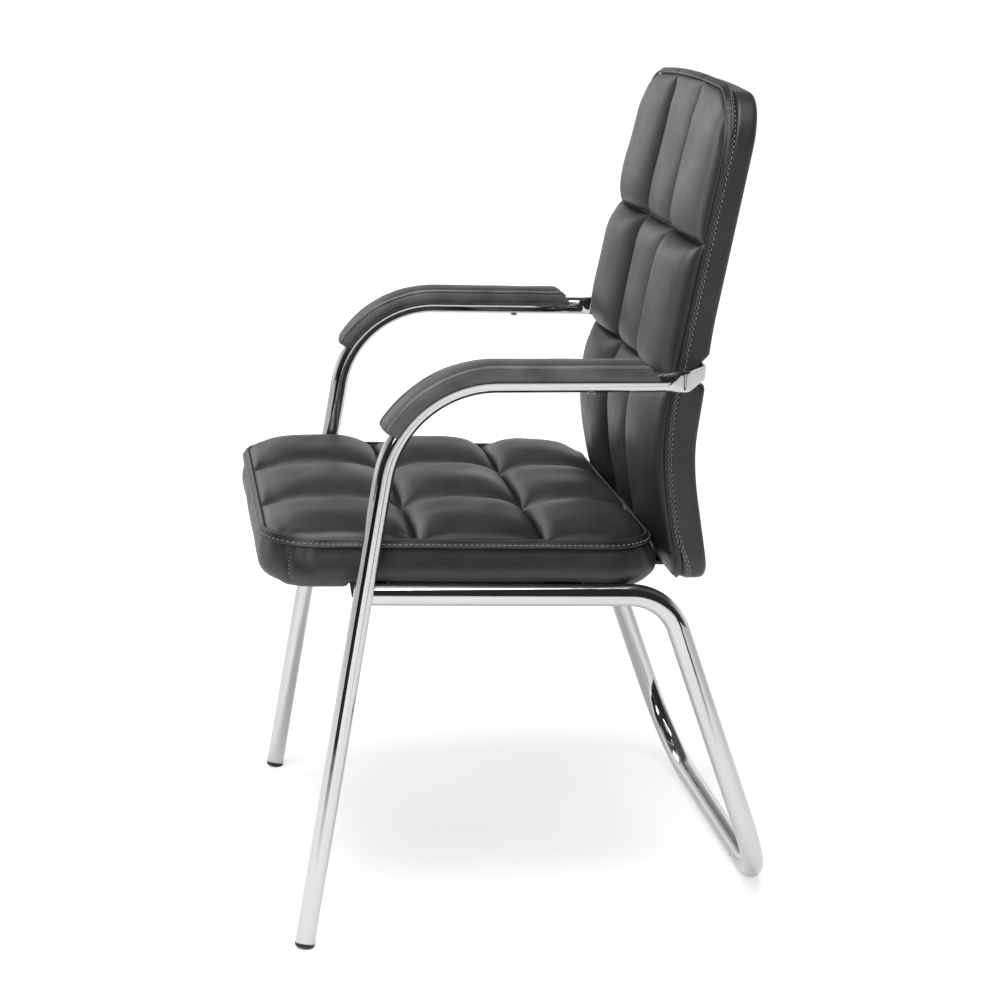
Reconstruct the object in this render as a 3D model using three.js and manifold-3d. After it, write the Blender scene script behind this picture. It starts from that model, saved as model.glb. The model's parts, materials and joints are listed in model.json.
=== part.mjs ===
// Visitor chair: bent chrome tube frame, quilted seat and back, padded arms.
// Millimetres, +Z up. The sitter faces -Y and the sitter's left is +X.
// The origin is on the floor, below the middle of the chair.
import * as THREE from 'three';
import { mergeVertices } from 'three/addons/utils/BufferGeometryUtils.js';
import Module from 'manifold-3d';

const wasm = await Module();
wasm.setup();

// Clearances
const gap = 0.3;
const layerGap = 0.6;
const holeSlack = 0.4;
const cutOverrun = 2;

// The seat, the rails and the arms all lean back by this much
const seatTilt = THREE.MathUtils.degToRad(2.7);

// Sizes below are measured square to that tilt, apart from those of the feet and the floor bar

// Heights, built up from the seat rails
const railTubeDia = 25.4;
const railHeight = 387.7;
const seatSkirt = 6.9;
const seatSideHeight = 48.5;
const armOverWelt = 185;
const armRise = 5;
const barTop = railHeight + railTubeDia / 2;
const seatUnderside = barTop - seatSkirt;
const seatWeltHeight = seatUnderside + seatSideHeight;
const armFrontHeight = seatWeltHeight + armOverWelt;
const armRearHeight = armFrontHeight + armRise;

// Side view of the back: a kick below, a lumbar arc, a lean above
const lumbarOverSeat = 161.5;
const lumbarHeight = seatUnderside + lumbarOverSeat;
const lumbarY = 139;
const lumbarRadius = 330;
const backLean = 0.155;
const backKick = 0.2;

// Outlines of seat and back
const seatWidth = 500;
const seatDepth = 432;
const backHeight = 547;
const backNarrowing = 54;
const backWidth = seatWidth - backNarrowing;
const backEdgeThickness = 7;
const backLowerPuff = 22.5;
const backCrown = 3;
const seatBackSpace = 2;
const backLowerFullness = backEdgeThickness + backLowerPuff + backCrown;
const seatRearY = backLine(seatWeltHeight) - backLowerFullness - seatBackSpace;
const seatFrontY = seatRearY - seatDepth;

// Front legs and arms, one bent tube on each side
const armTubeDia = 22;
const tubeWall = 1.5;
const armSeatSpace = 25;
const footSpread = 17.2;
const armToeIn = 9.2;
const armCornerSpan = seatWidth + 2 * armSeatSpace;
const footSpan = armCornerSpan + 2 * footSpread;
const armRearSpan = armCornerSpan - 2 * armToeIn;
const footSetback = 50;
const armCornerSetback = 135.5;
const footY = seatFrontY + footSetback;
const armCornerY = seatFrontY + armCornerSetback;
const armBendRadius = 123;
const creaseSetback = 3;
const creaseRun = 20;
const armCreaseY = lumbarY + creaseSetback;
const armStraightEndY = armCreaseY - creaseRun;

// Flattened tongue at the rear end of each arm, turned in behind the back
const tongueRootWidth = 23;
const tongueWidth = 17;
const tongueThickness = 4.4;
const tongueKneeSpace = 3;
const tongueLap = 48;
const tongueBoltInset = 12;
const tongueKneeX = backWidth / 2 + tongueKneeSpace;
const tongueEndX = backWidth / 2 - tongueLap;
const tongueBoltX = tongueEndX + tongueBoltInset;
const tongueRise = 4;
const tongueSink = 8;
const tongueTurnRadius = 8;
const tongueKneeRadius = 14;
const tipShares = [1, 0.5, 0.2];
const tipWidthShare = 0.25;

// Rear frame: seat rails, rear legs and floor bar in one bent tube
const railFrontSetback = 99.5;
const railCornerInset = 3;
const rearLegSpread = 143.6;
const railFrontY = seatFrontY + railFrontSetback;
const railCornerY = lumbarY - railCornerInset;
const floorBarY = railCornerY + rearLegSpread;
const railBendRadius = 62;
const floorBendRadius = 105;
const drainHoleDia = 5.5;
const drainHoleDepth = 4;
const drainHoleInset = 125.4;

// Foot plugs in the front legs
const plugRimHeight = 4;
const plugDomeHeight = 1.4;
const plugStemLength = 24;

// Seat bars, pressed from steel sheet
const barThickness = 3.5;
const barWidth = 43;
const barFlangeDrop = 20;
const barFlangeFoot = 36;
const frontBarSetback = 113.5;
const rearBarInset = 100.5;
const seatBoltInset = 80;
const frontBarY = seatFrontY + frontBarSetback;
const rearBarY = seatRearY - rearBarInset;
const seatBoltX = seatWidth / 2 - seatBoltInset;

// Seat board and cushion
const seatCentreY = seatRearY - seatDepth / 2;
const seatCornerRadius = 58;
const seatPuff = 24.5;
const seatCrown = 4;
const seatBulge = 10;
const seatBulgeShare = 0.8;
const boardThickness = 12;
const boardInset = 24;
const dustSheet = 0.8;
const seatLowerRound = 15;

// Back board, cushion and rear shell
const backHang = 3.5;
const backBottom = seatUnderside - backHang;
const backTopBow = 10;
const backCornerRadius = 36;
const backTopCornerRadius = 72;
const backBoardThickness = 9;
const backBoardInset = 22;
const backEdgeRound = 2.4;
const backMiddlePuff = 26.5;
const backUpperPuff = 22;
const shellDepth = 24;
const shellLowerDepth = 31.5;
const shellThickReach = 15;
const shellThinReach = 145;
const shellRound = 9;

// Quilting, the same on seat and back
const quiltPanels = 3;
const seatSeamShares = { x: 0.36, front: -0.24, rear: 0.42 };
const backSeamShares = { x: 0.3, lower: -0.15, upper: 0.41 };
const facetsPerPanel = 5;
const ridgePower = 2.6;
const fullnessPower = 0.62;
const cornerBlendPower = 4;

// Sewn welts round both cushions
const weltWidth = 9;
const weltThickness = 2.6;

// Arm pads
const padWidth = 48;
const padHeight = 21.3;
const padShoulder = 17.2;
const padRearInset = 14;
const padRearY = armStraightEndY - padRearInset;
const padFrontStep = 3;
const padSkirt = 4;
const padCoreWidth = 32;
const padCoreHeight = 16;
const padEndWall = 8;
const padChamfer = 17;
const padScrewInset = 73.6;
const padScrewY = padRearY - padScrewInset;

// Brackets that tie the back to the seat
const bracketWidth = 38;
const bracketThickness = 4;
const bracketInset = 83;
const bracketX = backWidth / 2 - bracketInset;
const bracketLap = 74.5;
const bracketFrontY = seatRearY - bracketLap;
const bracketTopInset = 11;
const bracketTop = lumbarHeight - backKick * lumbarRadius - bracketTopInset;
const bracketBendRadius = 9;
const bracketSeatScrewInset = 48.5;
const bracketBackScrewInset = 26;
const bracketSeatScrewY = seatRearY - bracketSeatScrewInset;
const bracketBackScrewHeight = bracketTop - bracketBackScrewInset;
const bracketScrewLength = 11;

// Fasteners
const boltDia = 6;
const boltHeadDia = 12;
const boltHeadHeight = 4;
const boltSocketDia = 4;
const boltSocketDepth = 2.4;
const washerDia = 16;
const washerThickness = 1.4;
const teeNutFlangeDia = 17;
const teeNutFlange = 1.5;
const teeNutBarrelDia = 8.4;
const teeNutCover = 2.5;
const teeNutLength = backBoardThickness - teeNutCover;
const backNutSink = 1.6;
const screwDia = 4.4;
const screwHeadDia = 10;
const screwHeadHeight = 3;
const screwRim = 0.9;
const boltRim = 2;
const domeShare = 0.6;
const domeHeightShare = 0.85;
const threadReach = 2;

// Facet counts
const tubeSides = 16;
const bendSteps = 8;
const armBendSteps = 11;
const turnSteps = 6;
const roundSides = 10;
const screwSides = 8;
const slabFacets = 12;
const shellSteps = 3;
const sideSteps = 5;
const cornerFacets = 4;
const sectionSegments = 6;

// Directions

const forward = new THREE.Vector3(0, -1, 0);
const backward = new THREE.Vector3(0, 1, 0);
const upward = new THREE.Vector3(0, 0, 1);
const downward = new THREE.Vector3(0, 0, -1);

// Closed meshes and solids

function welded(geometry) {
  geometry.deleteAttribute('normal');
  geometry.deleteAttribute('uv');
  return mergeVertices(geometry, gap / 1000);
}

function toSolid(geometry) {
  const mesh = welded(geometry.clone());
  return new wasm.Manifold(new wasm.Mesh({
    numProp: 3,
    vertProperties: new Float32Array(mesh.attributes.position.array),
    triVerts: new Uint32Array(mesh.index.array),
  }));
}

function toGeometry(solid) {
  const mesh = solid.getMesh();
  const geometry = new THREE.BufferGeometry();
  geometry.setAttribute('position', new THREE.BufferAttribute(mesh.vertProperties, mesh.numProp));
  geometry.setIndex(new THREE.BufferAttribute(mesh.triVerts, 1));
  return geometry;
}

function cut(geometry, tools) {
  return toGeometry(tools.reduce((solid, tool) => solid.subtract(toSolid(tool)), toSolid(geometry)));
}

function join(geometries) {
  return toGeometry(geometries.map(toSolid).reduce((sum, solid) => sum.add(solid)));
}

function bothSides(make) {
  return [make(1), make(-1)];
}

// Paths: straight runs joined by circular bends, as stations with a point and a tangent

function bentPath(corners, radii, steps = bendSteps) {
  const stations = [];
  const direction = (i) => corners[i + 1].clone().sub(corners[i]).normalize();
  stations.push({ point: corners[0].clone(), tangent: direction(0) });
  for (let i = 1; i < corners.length - 1; i += 1) {
    const inward = direction(i - 1);
    const onward = direction(i);
    const turn = inward.angleTo(onward);
    const axis = inward.clone().cross(onward).normalize();
    const radius = radii[i - 1];
    const start = corners[i].clone().addScaledVector(inward, -radius * Math.tan(turn / 2));
    const centre = start.clone().addScaledVector(axis.clone().cross(inward), radius);
    for (let step = 0; step <= steps; step += 1) {
      const angle = (turn * step) / steps;
      stations.push({
        point: start.clone().sub(centre).applyAxisAngle(axis, angle).add(centre),
        tangent: inward.clone().applyAxisAngle(axis, angle),
      });
    }
  }
  stations.push({ point: corners.at(-1).clone(), tangent: direction(corners.length - 2) });
  return stations;
}

// Carries a section along the stations. Its x runs to -X at first and its y runs out of the bend.
// A level sweep keeps its x level all the way.
function sweep(section, stations, { sizeAt = () => [1, 1], level = false } = {}) {
  const last = stations.length - 1;
  const geometry = new THREE.ExtrudeGeometry(section, {
    depth: last, steps: last, bevelEnabled: false, curveSegments: sectionSegments,
  });
  const side = new THREE.Vector3(-1, 0, 0);
  const frames = stations.map(({ point, tangent }, i) => {
    if (level) {
      side.crossVectors(upward, tangent);
    } else if (i > 0) {
      const turn = new THREE.Quaternion().setFromUnitVectors(stations[i - 1].tangent, tangent);
      side.applyQuaternion(turn);
    }
    side.addScaledVector(tangent, -side.dot(tangent)).normalize();
    return { point, side: side.clone(), out: tangent.clone().cross(side) };
  });
  const position = geometry.attributes.position;
  for (let i = 0; i < position.count; i += 1) {
    const index = Math.round(position.getZ(i));
    const [wide, tall] = sizeAt(index);
    const { point, side: sideways, out } = frames[index];
    const placed = point.clone()
      .addScaledVector(sideways, position.getX(i) * wide)
      .addScaledVector(out, position.getY(i) * tall);
    position.setXYZ(i, placed.x, placed.y, placed.z);
  }
  return welded(geometry);
}

// A round section as a polygon, turned so that the bent tube has a facet where it is wanted
function roundSection(radius, sides, phase) {
  const corner = (i) => (2 * Math.PI * i) / sides + phase;
  const points = Array.from({ length: sides }, (_, i) => (
    new THREE.Vector2(radius * Math.cos(corner(i)), radius * Math.sin(corner(i)))));
  return new THREE.Shape(points);
}

function peg(dia, from, to, sides = roundSides) {
  const length = from.distanceTo(to);
  const geometry = new THREE.CylinderGeometry(dia / 2, dia / 2, length, sides);
  const up = new THREE.Vector3(0, 1, 0);
  const turn = new THREE.Quaternion().setFromUnitVectors(up, to.clone().sub(from).normalize());
  geometry.applyQuaternion(turn);
  const middle = from.clone().add(to).multiplyScalar(1 / 2);
  geometry.translate(middle.x, middle.y, middle.z);
  return geometry;
}

// A cutting peg of a given half length, centred on a point
function hole(dia, at, direction, reach) {
  const from = at.clone().addScaledVector(direction, -reach);
  return peg(dia, from, at.clone().addScaledVector(direction, reach));
}

function block(x0, x1, y0, y1, z0, z1) {
  const geometry = new THREE.BoxGeometry(x1 - x0, y1 - y0, z1 - z0);
  geometry.translate((x0 + x1) / 2, (y0 + y1) / 2, (z0 + z1) / 2);
  return geometry;
}

// A turned piece whose axis is moved from +Y to the given direction
function turned(profile, at, direction, sides = roundSides) {
  const geometry = new THREE.LatheGeometry(profile.map(([r, h]) => new THREE.Vector2(r, h)), sides);
  const up = new THREE.Vector3(0, 1, 0);
  geometry.applyQuaternion(new THREE.Quaternion().setFromUnitVectors(up, direction));
  geometry.translate(at.x, at.y, at.z);
  return welded(geometry);
}

// Turns points and directions between the tilted seat and the floor

const tilt = new THREE.Quaternion().setFromAxisAngle(new THREE.Vector3(1, 0, 0), -seatTilt);
const toFloor = (vector) => vector.clone().applyQuaternion(tilt);
const toSeat = (vector) => vector.clone().applyQuaternion(tilt.clone().invert());


// The line that all layers of the back follow: straight kick, shallow lumbar arc, straight lean
function backLine(z) {
  const rise = z - lumbarHeight;
  const slope = Math.max(-backKick, Math.min(backLean, rise / lumbarRadius));
  const arcEnd = slope * lumbarRadius;
  return lumbarY + (arcEnd * slope) / 2 + (rise - arcEnd) * slope;
}

function shellDepthAt(z) {
  const thin = THREE.MathUtils.smoothstep(z - lumbarHeight, shellThickReach, shellThinReach);
  return THREE.MathUtils.lerp(shellLowerDepth, shellDepth, thin);
}

// Arm and leg tube

const armTube = armTubeDia / 2;
const tongueHeight = armRearHeight + tongueRise;
const tongueRearY = backLine(tongueHeight) + shellDepthAt(tongueHeight) + tongueThickness - tongueSink;
const tongueY = tongueRearY - tongueThickness / 2;

function footPoint(side) {
  return new THREE.Vector3((side * footSpan) / 2, footY, 0);
}

// A point on the straight run of the arm, at any y
function armPoint(side, y) {
  const corner = new THREE.Vector3((side * armCornerSpan) / 2, armCornerY, armFrontHeight);
  const crease = new THREE.Vector3((side * armRearSpan) / 2, armCreaseY, armRearHeight);
  return corner.lerp(crease, (y - armCornerY) / (armCreaseY - armCornerY));
}

function legDirection(side) {
  return armPoint(side, armCornerY).sub(toSeat(footPoint(side))).normalize();
}

const plugHeight = plugRimHeight + plugDomeHeight;

function legStart(side) {
  return toSeat(footPoint(side)).addScaledVector(legDirection(side), plugHeight + gap);
}

function armBend(side) {
  const corners = [legStart(side), armPoint(side, armCornerY), armPoint(side, armStraightEndY)];
  return bentPath(corners, [armBendRadius], armBendSteps);
}

// Past the crease the tongue runs aslant to the knee behind the back, then straight inwards.
// Stations close to the tip let the section round off there.
function armPath(side) {
  const crease = armPoint(side, armCreaseY);
  const knee = new THREE.Vector3(side * tongueKneeX, tongueY, tongueHeight);
  const end = knee.clone().setX(side * tongueEndX);
  const radii = [tongueTurnRadius, tongueKneeRadius];
  const tongue = bentPath([armPoint(side, armStraightEndY), crease, knee, end], radii, turnSteps);
  const tip = tipShares.map((share) => ({
    point: end.clone().setX(side * (tongueEndX + (share * tongueWidth) / 2)),
    tangent: tongue.at(-1).tangent,
  }));
  return [...armBend(side), ...tongue.slice(1, -1), ...tip, tongue.at(-1)];
}

// Round up to the straight end, then pressed flat, narrower towards the knee, with a rounded tip
function armSectionAt(path) {
  const end = path.at(-1).point;
  return (index) => {
    const { point } = path[index];
    const flat = THREE.MathUtils.smoothstep(point.y, armStraightEndY, armCreaseY - tongueTurnRadius);
    const narrow = THREE.MathUtils.smoothstep(-Math.abs(point.x), -armRearSpan / 2, -tongueKneeX);
    const width = THREE.MathUtils.lerp(tongueRootWidth, tongueWidth, narrow);
    const wide = THREE.MathUtils.lerp(1, tongueThickness / armTubeDia, flat);
    const tall = THREE.MathUtils.lerp(1, width / armTubeDia, flat);
    const fromEnd = Math.min(point.distanceTo(end) / (tongueWidth / 2), 1);
    return [wide, tall * Math.max(Math.sqrt(1 - (1 - fromEnd) ** 2), tipWidthShare)];
  };
}

function armLeg(side) {
  const path = armPath(side);
  const section = roundSection(armTube, tubeSides, Math.PI / tubeSides);
  const tube = sweep(section, path, { sizeAt: armSectionAt(path), level: true });
  const start = legStart(side);
  const direction = legDirection(side);
  const mouth = start.clone().addScaledVector(direction, -cutOverrun);
  const boreEnd = start.clone().addScaledVector(direction, plugStemLength + cutOverrun);
  const bore = peg(armTubeDia - 2 * tubeWall, mouth, boreEnd, tubeSides);
  return cut(tube, [bore, padScrewHole(side), tongueHole(side)]);
}

// Pad screws, square to the arm, and the bolt holes in the tongues

function padScrewDirection(side) {
  const along = armPoint(side, armCreaseY).sub(armPoint(side, armCornerY)).normalize();
  return upward.clone().projectOnPlane(along).normalize();
}

function padScrewHole(side) {
  const at = armPoint(side, padScrewY);
  return hole(screwDia + 2 * holeSlack, at, padScrewDirection(side), armTubeDia);
}

function padScrew(side) {
  const direction = padScrewDirection(side);
  const under = armPoint(side, padScrewY).addScaledVector(direction, -armTube - gap);
  return screw(armTubeDia + gap + (padCoreHeight - armTube) / 2, under, direction);
}

function screw(length, at, direction) {
  const radius = screwDia / 2;
  const head = screwHeadDia / 2;
  const profile = [
    [0, -screwHeadHeight], [head * domeShare, -screwHeadHeight * domeHeightShare], [head, -screwRim],
    [head, 0], [radius, 0], [radius, length - radius], [0, length],
  ];
  return turned(profile, at, direction, screwSides);
}

function tonguePoint(side, y) {
  return new THREE.Vector3(side * tongueBoltX, y, tongueHeight);
}

function tongueHole(side) {
  return hole(boltDia + 2 * holeSlack, tonguePoint(side, tongueY), forward, tongueThickness);
}

// Rear frame: its rails lie against the insides of the front legs

const railTube = railTubeDia / 2;

function legXAt(z) {
  const foot = toSeat(footPoint(1));
  return foot.lerp(armPoint(1, armCornerY), (z - foot.z) / (armFrontHeight - foot.z)).x;
}

const railX = legXAt(railHeight) - armTube - railTube - gap;
const railCorner = toFloor(new THREE.Vector3(0, railCornerY, railHeight));
const railFront = toFloor(new THREE.Vector3(0, railFrontY, railHeight));
const barCentre = new THREE.Vector3(0, floorBarY, railTube * Math.cos(Math.PI / tubeSides));
const legLean = Math.atan2(barCentre.y - railCorner.y, railCorner.z - barCentre.z);

// The section is turned so that the floor bar rests on one of its facets
function rearFrame() {
  const half = [railFront, railCorner, barCentre];
  const corners = [
    ...half.map((point) => point.clone().setX(railX)),
    ...half.toReversed().map((point) => point.clone().setX(-railX)),
  ];
  const radii = [railBendRadius, floorBendRadius, floorBendRadius, railBendRadius];
  const section = roundSection(railTube, tubeSides, legLean + Math.PI / tubeSides);
  const tube = sweep(section, bentPath(corners, radii));
  return cut(tube, [...bothSides(drainHole), floorBlock(0, floorBarY, 2 * railX)]);
}

// Small plating hole in the front of each floor bend
function drainHole(side) {
  const face = new THREE.Vector3(side * (railX - drainHoleInset), floorBarY - railTube, barCentre.z);
  return hole(drainHoleDia, face, forward, drainHoleDepth);
}

function floorBlock(x, y, reach) {
  return block(x - reach, x + reach, y - reach, y + reach, -reach, 0);
}

// Foot plugs, trimmed level where they stand on the floor

function footPlug(side) {
  const stem = armTube - tubeWall - gap;
  const profile = [
    [0, 0], [armTube * domeShare, plugDomeHeight * (1 - domeHeightShare)], [armTube, plugDomeHeight],
    [armTube, plugHeight], [stem, plugHeight], [stem, plugHeight + plugStemLength - plugRimHeight],
    [0, plugHeight + plugStemLength],
  ];
  const foot = footPoint(side);
  const plug = turned(profile, foot, toFloor(legDirection(side)), tubeSides);
  return cut(plug, [floorBlock(foot.x, foot.y, armTubeDia)]);
}

// Seat bars: a flat top with a tapered flange folded down against each rail

const barHalf = railX - railTube - gap;

function seatBar(centreY) {
  const half = barWidth / 2;
  const foot = barFlangeFoot / 2;
  const top = block(-barHalf, barHalf, centreY - half, centreY + half, barTop - barThickness, barTop);
  const outline = new THREE.Shape([
    new THREE.Vector2(-half, 0), new THREE.Vector2(-foot, -barFlangeDrop),
    new THREE.Vector2(foot, -barFlangeDrop), new THREE.Vector2(half, 0),
  ]);
  const flanges = bothSides((side) => {
    const flange = new THREE.ExtrudeGeometry(outline, { depth: barThickness, bevelEnabled: false });
    flange.rotateX(Math.PI / 2);
    flange.rotateZ(Math.PI / 2);
    flange.translate(side > 0 ? barHalf - barThickness : -barHalf, centreY, barTop);
    return flange;
  });
  const holes = bothSides((side) => (
    hole(boltDia + 2 * holeSlack, new THREE.Vector3(side * seatBoltX, centreY, barTop), upward, barWidth)));
  return cut(join([top, ...flanges]), holes);
}

// Room for a seat bar in the skirt of the cushion
function barRoom(centreY) {
  const half = barWidth / 2 + gap;
  return block(
    -railX, railX, centreY - half, centreY + half, seatUnderside - cutOverrun, barTop + gap,
  );
}

// Rounded rectangle, for boards and sheets

function roundedRectangle(width, length, radius) {
  const shape = new THREE.Shape();
  const x = width / 2 - radius;
  const y = length / 2 - radius;
  shape.absarc(x, y, radius, 0, Math.PI / 2);
  shape.absarc(-x, y, radius, Math.PI / 2, Math.PI);
  shape.absarc(-x, -y, radius, Math.PI, (3 * Math.PI) / 2);
  shape.absarc(x, -y, radius, (3 * Math.PI) / 2, 2 * Math.PI);
  return shape;
}

function plate(grow, bottom, thickness) {
  const shape = roundedRectangle(boardWidth + 2 * grow, boardDepth + 2 * grow, boardRadius + grow);
  const settings = { depth: thickness, bevelEnabled: false, curveSegments: cornerFacets };
  const geometry = new THREE.ExtrudeGeometry(shape, settings);
  geometry.translate(0, seatCentreY, bottom);
  return welded(geometry);
}

// Seat board and dust sheet

const sheetBottom = barTop + gap;
const boardBottom = sheetBottom + dustSheet + gap;
const boardTop = boardBottom + boardThickness;
const boardWidth = seatWidth - 2 * boardInset;
const boardDepth = seatDepth - 2 * boardInset;
const boardRadius = seatCornerRadius - boardInset;

function seatBoltPoints(z) {
  return [frontBarY, rearBarY].flatMap((y) => bothSides((side) => new THREE.Vector3(side * seatBoltX, y, z)));
}

function seatScrewPoint(side, z) {
  return new THREE.Vector3(side * bracketX, bracketSeatScrewY, z);
}

function seatBoard() {
  const nuts = seatBoltPoints(boardTop).map((at) => teeNutSeat(at, upward));
  const bores = seatBoltPoints(boardTop).map((at) => hole(teeNutBarrelDia + 2 * gap, at, upward, boardTop));
  const pilots = bothSides((side) => (
    hole(screwDia + 2 * gap, seatScrewPoint(side, boardBottom), upward, bracketScrewLength)));
  return cut(plate(0, boardBottom, boardThickness), [...nuts, ...bores, ...pilots]);
}

function dustCover() {
  const bolts = seatBoltPoints(sheetBottom).map((at) => hole(boltDia + 2 * holeSlack, at, upward, barWidth));
  const screws = bothSides((side) => (
    hole(screwDia + 2 * gap, seatScrewPoint(side, sheetBottom), upward, barWidth)));
  return cut(plate(0, sheetBottom, dustSheet), [...bolts, ...screws]);
}

// Padded slabs: a box drawn out into a rounded outline, its upper face puffed into quilted panels

function panelRise(x, y) {
  const ridge = (s) => {
    const along = ((s + 1) / 2) * quiltPanels;
    const inPanel = along - Math.min(Math.floor(along), quiltPanels - 1);
    return 1 - Math.abs(2 * inPanel - 1) ** ridgePower;
  };
  return (ridge(x) * ridge(y)) ** fullnessPower;
}

// Moves the even thirds of the run from -1 to 1 to the seams of the quilting
function toSeams(s, low, high) {
  const third = 1 / quiltPanels;
  if (s < -third) return THREE.MathUtils.mapLinear(s, -1, -third, -1, low);
  if (s > third) return THREE.MathUtils.mapLinear(s, third, 1, high, 1);
  return THREE.MathUtils.mapLinear(s, -third, third, low, high);
}

const evenly = (x, y) => [x, y];
const seatSeams = (x, y) => [
  toSeams(x, -seatSeamShares.x, seatSeamShares.x), toSeams(y, seatSeamShares.front, seatSeamShares.rear),
];
const backSeams = (x, y) => [
  toSeams(x, -backSeamShares.x, backSeamShares.x), toSeams(y, backSeamShares.lower, backSeamShares.upper),
];

// Moves a point of the square from -1 to 1 to its place in a rounded rectangle
function roundedOutline([x, y], { width, length, radius, upperRadius }, inset = 0) {
  const reach = Math.max(Math.abs(x), Math.abs(y));
  if (reach === 0) return [0, 0];
  const corner = (y > 0 ? upperRadius : radius) - inset;
  const halfX = width / 2 - inset;
  const halfY = length / 2 - inset;
  const edgeX = (x / reach) * halfX;
  const edgeY = (y / reach) * halfY;
  const overX = Math.max(Math.abs(edgeX) - (halfX - corner), 0);
  const overY = Math.max(Math.abs(edgeY) - (halfY - corner), 0);
  const pull = Math.min(corner / Math.hypot(overX, overY), 1);
  const roundX = Math.sign(edgeX) * (Math.abs(edgeX) - overX + overX * pull);
  const roundY = Math.sign(edgeY) * (Math.abs(edgeY) - overY + overY * pull);
  const blend = reach ** cornerBlendPower;
  return [
    THREE.MathUtils.lerp(edgeX, roundX, blend) * reach,
    THREE.MathUtils.lerp(edgeY, roundY, blend) * reach,
  ];
}

// x runs across, y along, z from the flat side at 0 to the puffed side
function slab({
  outline, thickness, facets, steps = 1, seams = evenly, insetAt = () => 0, topAt = () => 0,
}) {
  const geometry = new THREE.BoxGeometry(2, 2, 1, facets, facets, steps);
  const position = geometry.attributes.position;
  for (let i = 0; i < position.count; i += 1) {
    const x = position.getX(i);
    const y = position.getY(i);
    const height = position.getZ(i) + 1 / 2;
    const [px, py] = roundedOutline(seams(x, y), outline, insetAt(height));
    position.setXYZ(i, px, py, height * thickness + (height === 1 ? topAt(x, y) : 0));
  }
  return welded(geometry);
}

// How far a rounded edge draws in, at a share of its radius from the face
function quarterRound(share, radius) {
  const left = 1 - Math.min(share, 1);
  return radius * (1 - Math.sqrt(1 - left * left));
}

const seatOutline = {
  width: seatWidth, length: seatDepth, radius: seatCornerRadius, upperRadius: seatCornerRadius,
};

function seatCushion() {
  const cushion = slab({
    outline: seatOutline,
    thickness: seatSideHeight,
    facets: quiltPanels * facetsPerPanel,
    steps: sideSteps,
    seams: seatSeams,
    insetAt: (height) => (
      quarterRound((height * seatSideHeight) / seatLowerRound, seatLowerRound)
      - seatBulge * Math.sin(Math.PI * Math.min(height / seatBulgeShare, 1))),
    topAt: (x, y) => seatPuff * panelRise(x, y) + seatCrown * (1 - x * x) * (1 - y * y),
  });
  cushion.translate(0, seatCentreY, seatUnderside);
  const below = seatUnderside - cutOverrun;
  const pocket = plate(gap, below, boardTop + gap - below);
  const rear = seatCentreY + seatDepth / 2;
  const slots = bothSides((side) => bracketNotch(side, rear - boardInset - gap, rear + weltWidth));
  return cut(cushion, [pocket, barRoom(frontBarY), barRoom(rearBarY), ...slots]);
}

// Welts: a folded strip round the edge of a cushion, with the same facets as the cushion

function weltRing(outline, seams, place) {
  const facets = quiltPanels * facetsPerPanel;
  const steps = Array.from({ length: facets }, (_, i) => -1 + (2 * i) / facets);
  const square = [
    ...steps.map((s) => [s, -1]), ...steps.map((s) => [1, s]),
    ...steps.map((s) => [-s, 1]), ...steps.map((s) => [-1, -s]),
  ];
  const stations = square.map(([sx, sy]) => {
    const [x, y] = roundedOutline(seams(sx, sy), outline);
    const corner = y > 0 ? outline.upperRadius : outline.radius;
    const overX = Math.sign(x) * Math.max(Math.abs(x) - (outline.width / 2 - corner), 0);
    const overY = Math.sign(y) * Math.max(Math.abs(y) - (outline.length / 2 - corner), 0);
    return { x, y, out: new THREE.Vector2(overX, overY).normalize() };
  });
  const corners = [[gap + weltThickness, -1], [gap + weltThickness, 1], [gap, 1], [gap, -1]];
  const geometry = new THREE.TorusGeometry(2, 1, corners.length, stations.length);
  const position = geometry.attributes.position;
  for (let i = 0; i < position.count; i += 1) {
    const { x, y, out } = stations[(i % (stations.length + 1)) % stations.length];
    const [away, rise] = corners[Math.floor(i / (stations.length + 1)) % corners.length];
    const [px, py, pz] = place(x + out.x * away, y + out.y * away, (rise * weltWidth) / 2);
    position.setXYZ(i, px, py, pz);
  }
  return welded(geometry);
}

function seatWelt() {
  return weltRing(seatOutline, seatSeams, (x, y, rise) => (
    [x, y + seatCentreY, seatWeltHeight + rise]));
}

// Back: board, quilted cushion, welt and rear shell, all bent along the back line

const backMiddle = backBottom + backHeight / 2;
const backOutline = {
  width: backWidth, length: backHeight, radius: backCornerRadius, upperRadius: backTopCornerRadius,
};

// The top edge bows up in the middle
function backHeightAt(x, y) {
  const upper = Math.max(y / (backHeight / 2), 0);
  const middle = 1 - (x / (backWidth / 2)) ** 2;
  return backMiddle + y + backTopBow * middle * upper ** 2;
}

// Stands a slab up against the back line, its thickness towards the front (-1) or the rear (1)
function stoodUp(geometry, offset, facing) {
  const position = geometry.attributes.position;
  for (let i = 0; i < position.count; i += 1) {
    const x = -facing * position.getX(i);
    const z = backHeightAt(x, position.getY(i));
    position.setXYZ(i, x, backLine(z) + offset + facing * position.getZ(i), z);
  }
  return geometry;
}

function boardSlab(grow, front, thickness) {
  const board = slab({
    outline: backOutline, thickness, facets: slabFacets, insetAt: () => backBoardInset - grow,
  });
  return stoodUp(board, front, 1);
}

function backBoard() {
  const seats = bothSides((side) => teeNutSeat(backNutPoint(side), forward));
  const bores = bothSides((side) => (
    hole(teeNutBarrelDia + 2 * gap, backNutPoint(side), forward, backBoardThickness * 2)));
  const pilots = bothSides((side) => (
    hole(screwDia + 2 * gap, backScrewPoint(side), backScrewDirection(), bracketScrewLength)));
  return cut(boardSlab(0, gap, backBoardThickness), [...seats, ...bores, ...pilots]);
}

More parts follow.
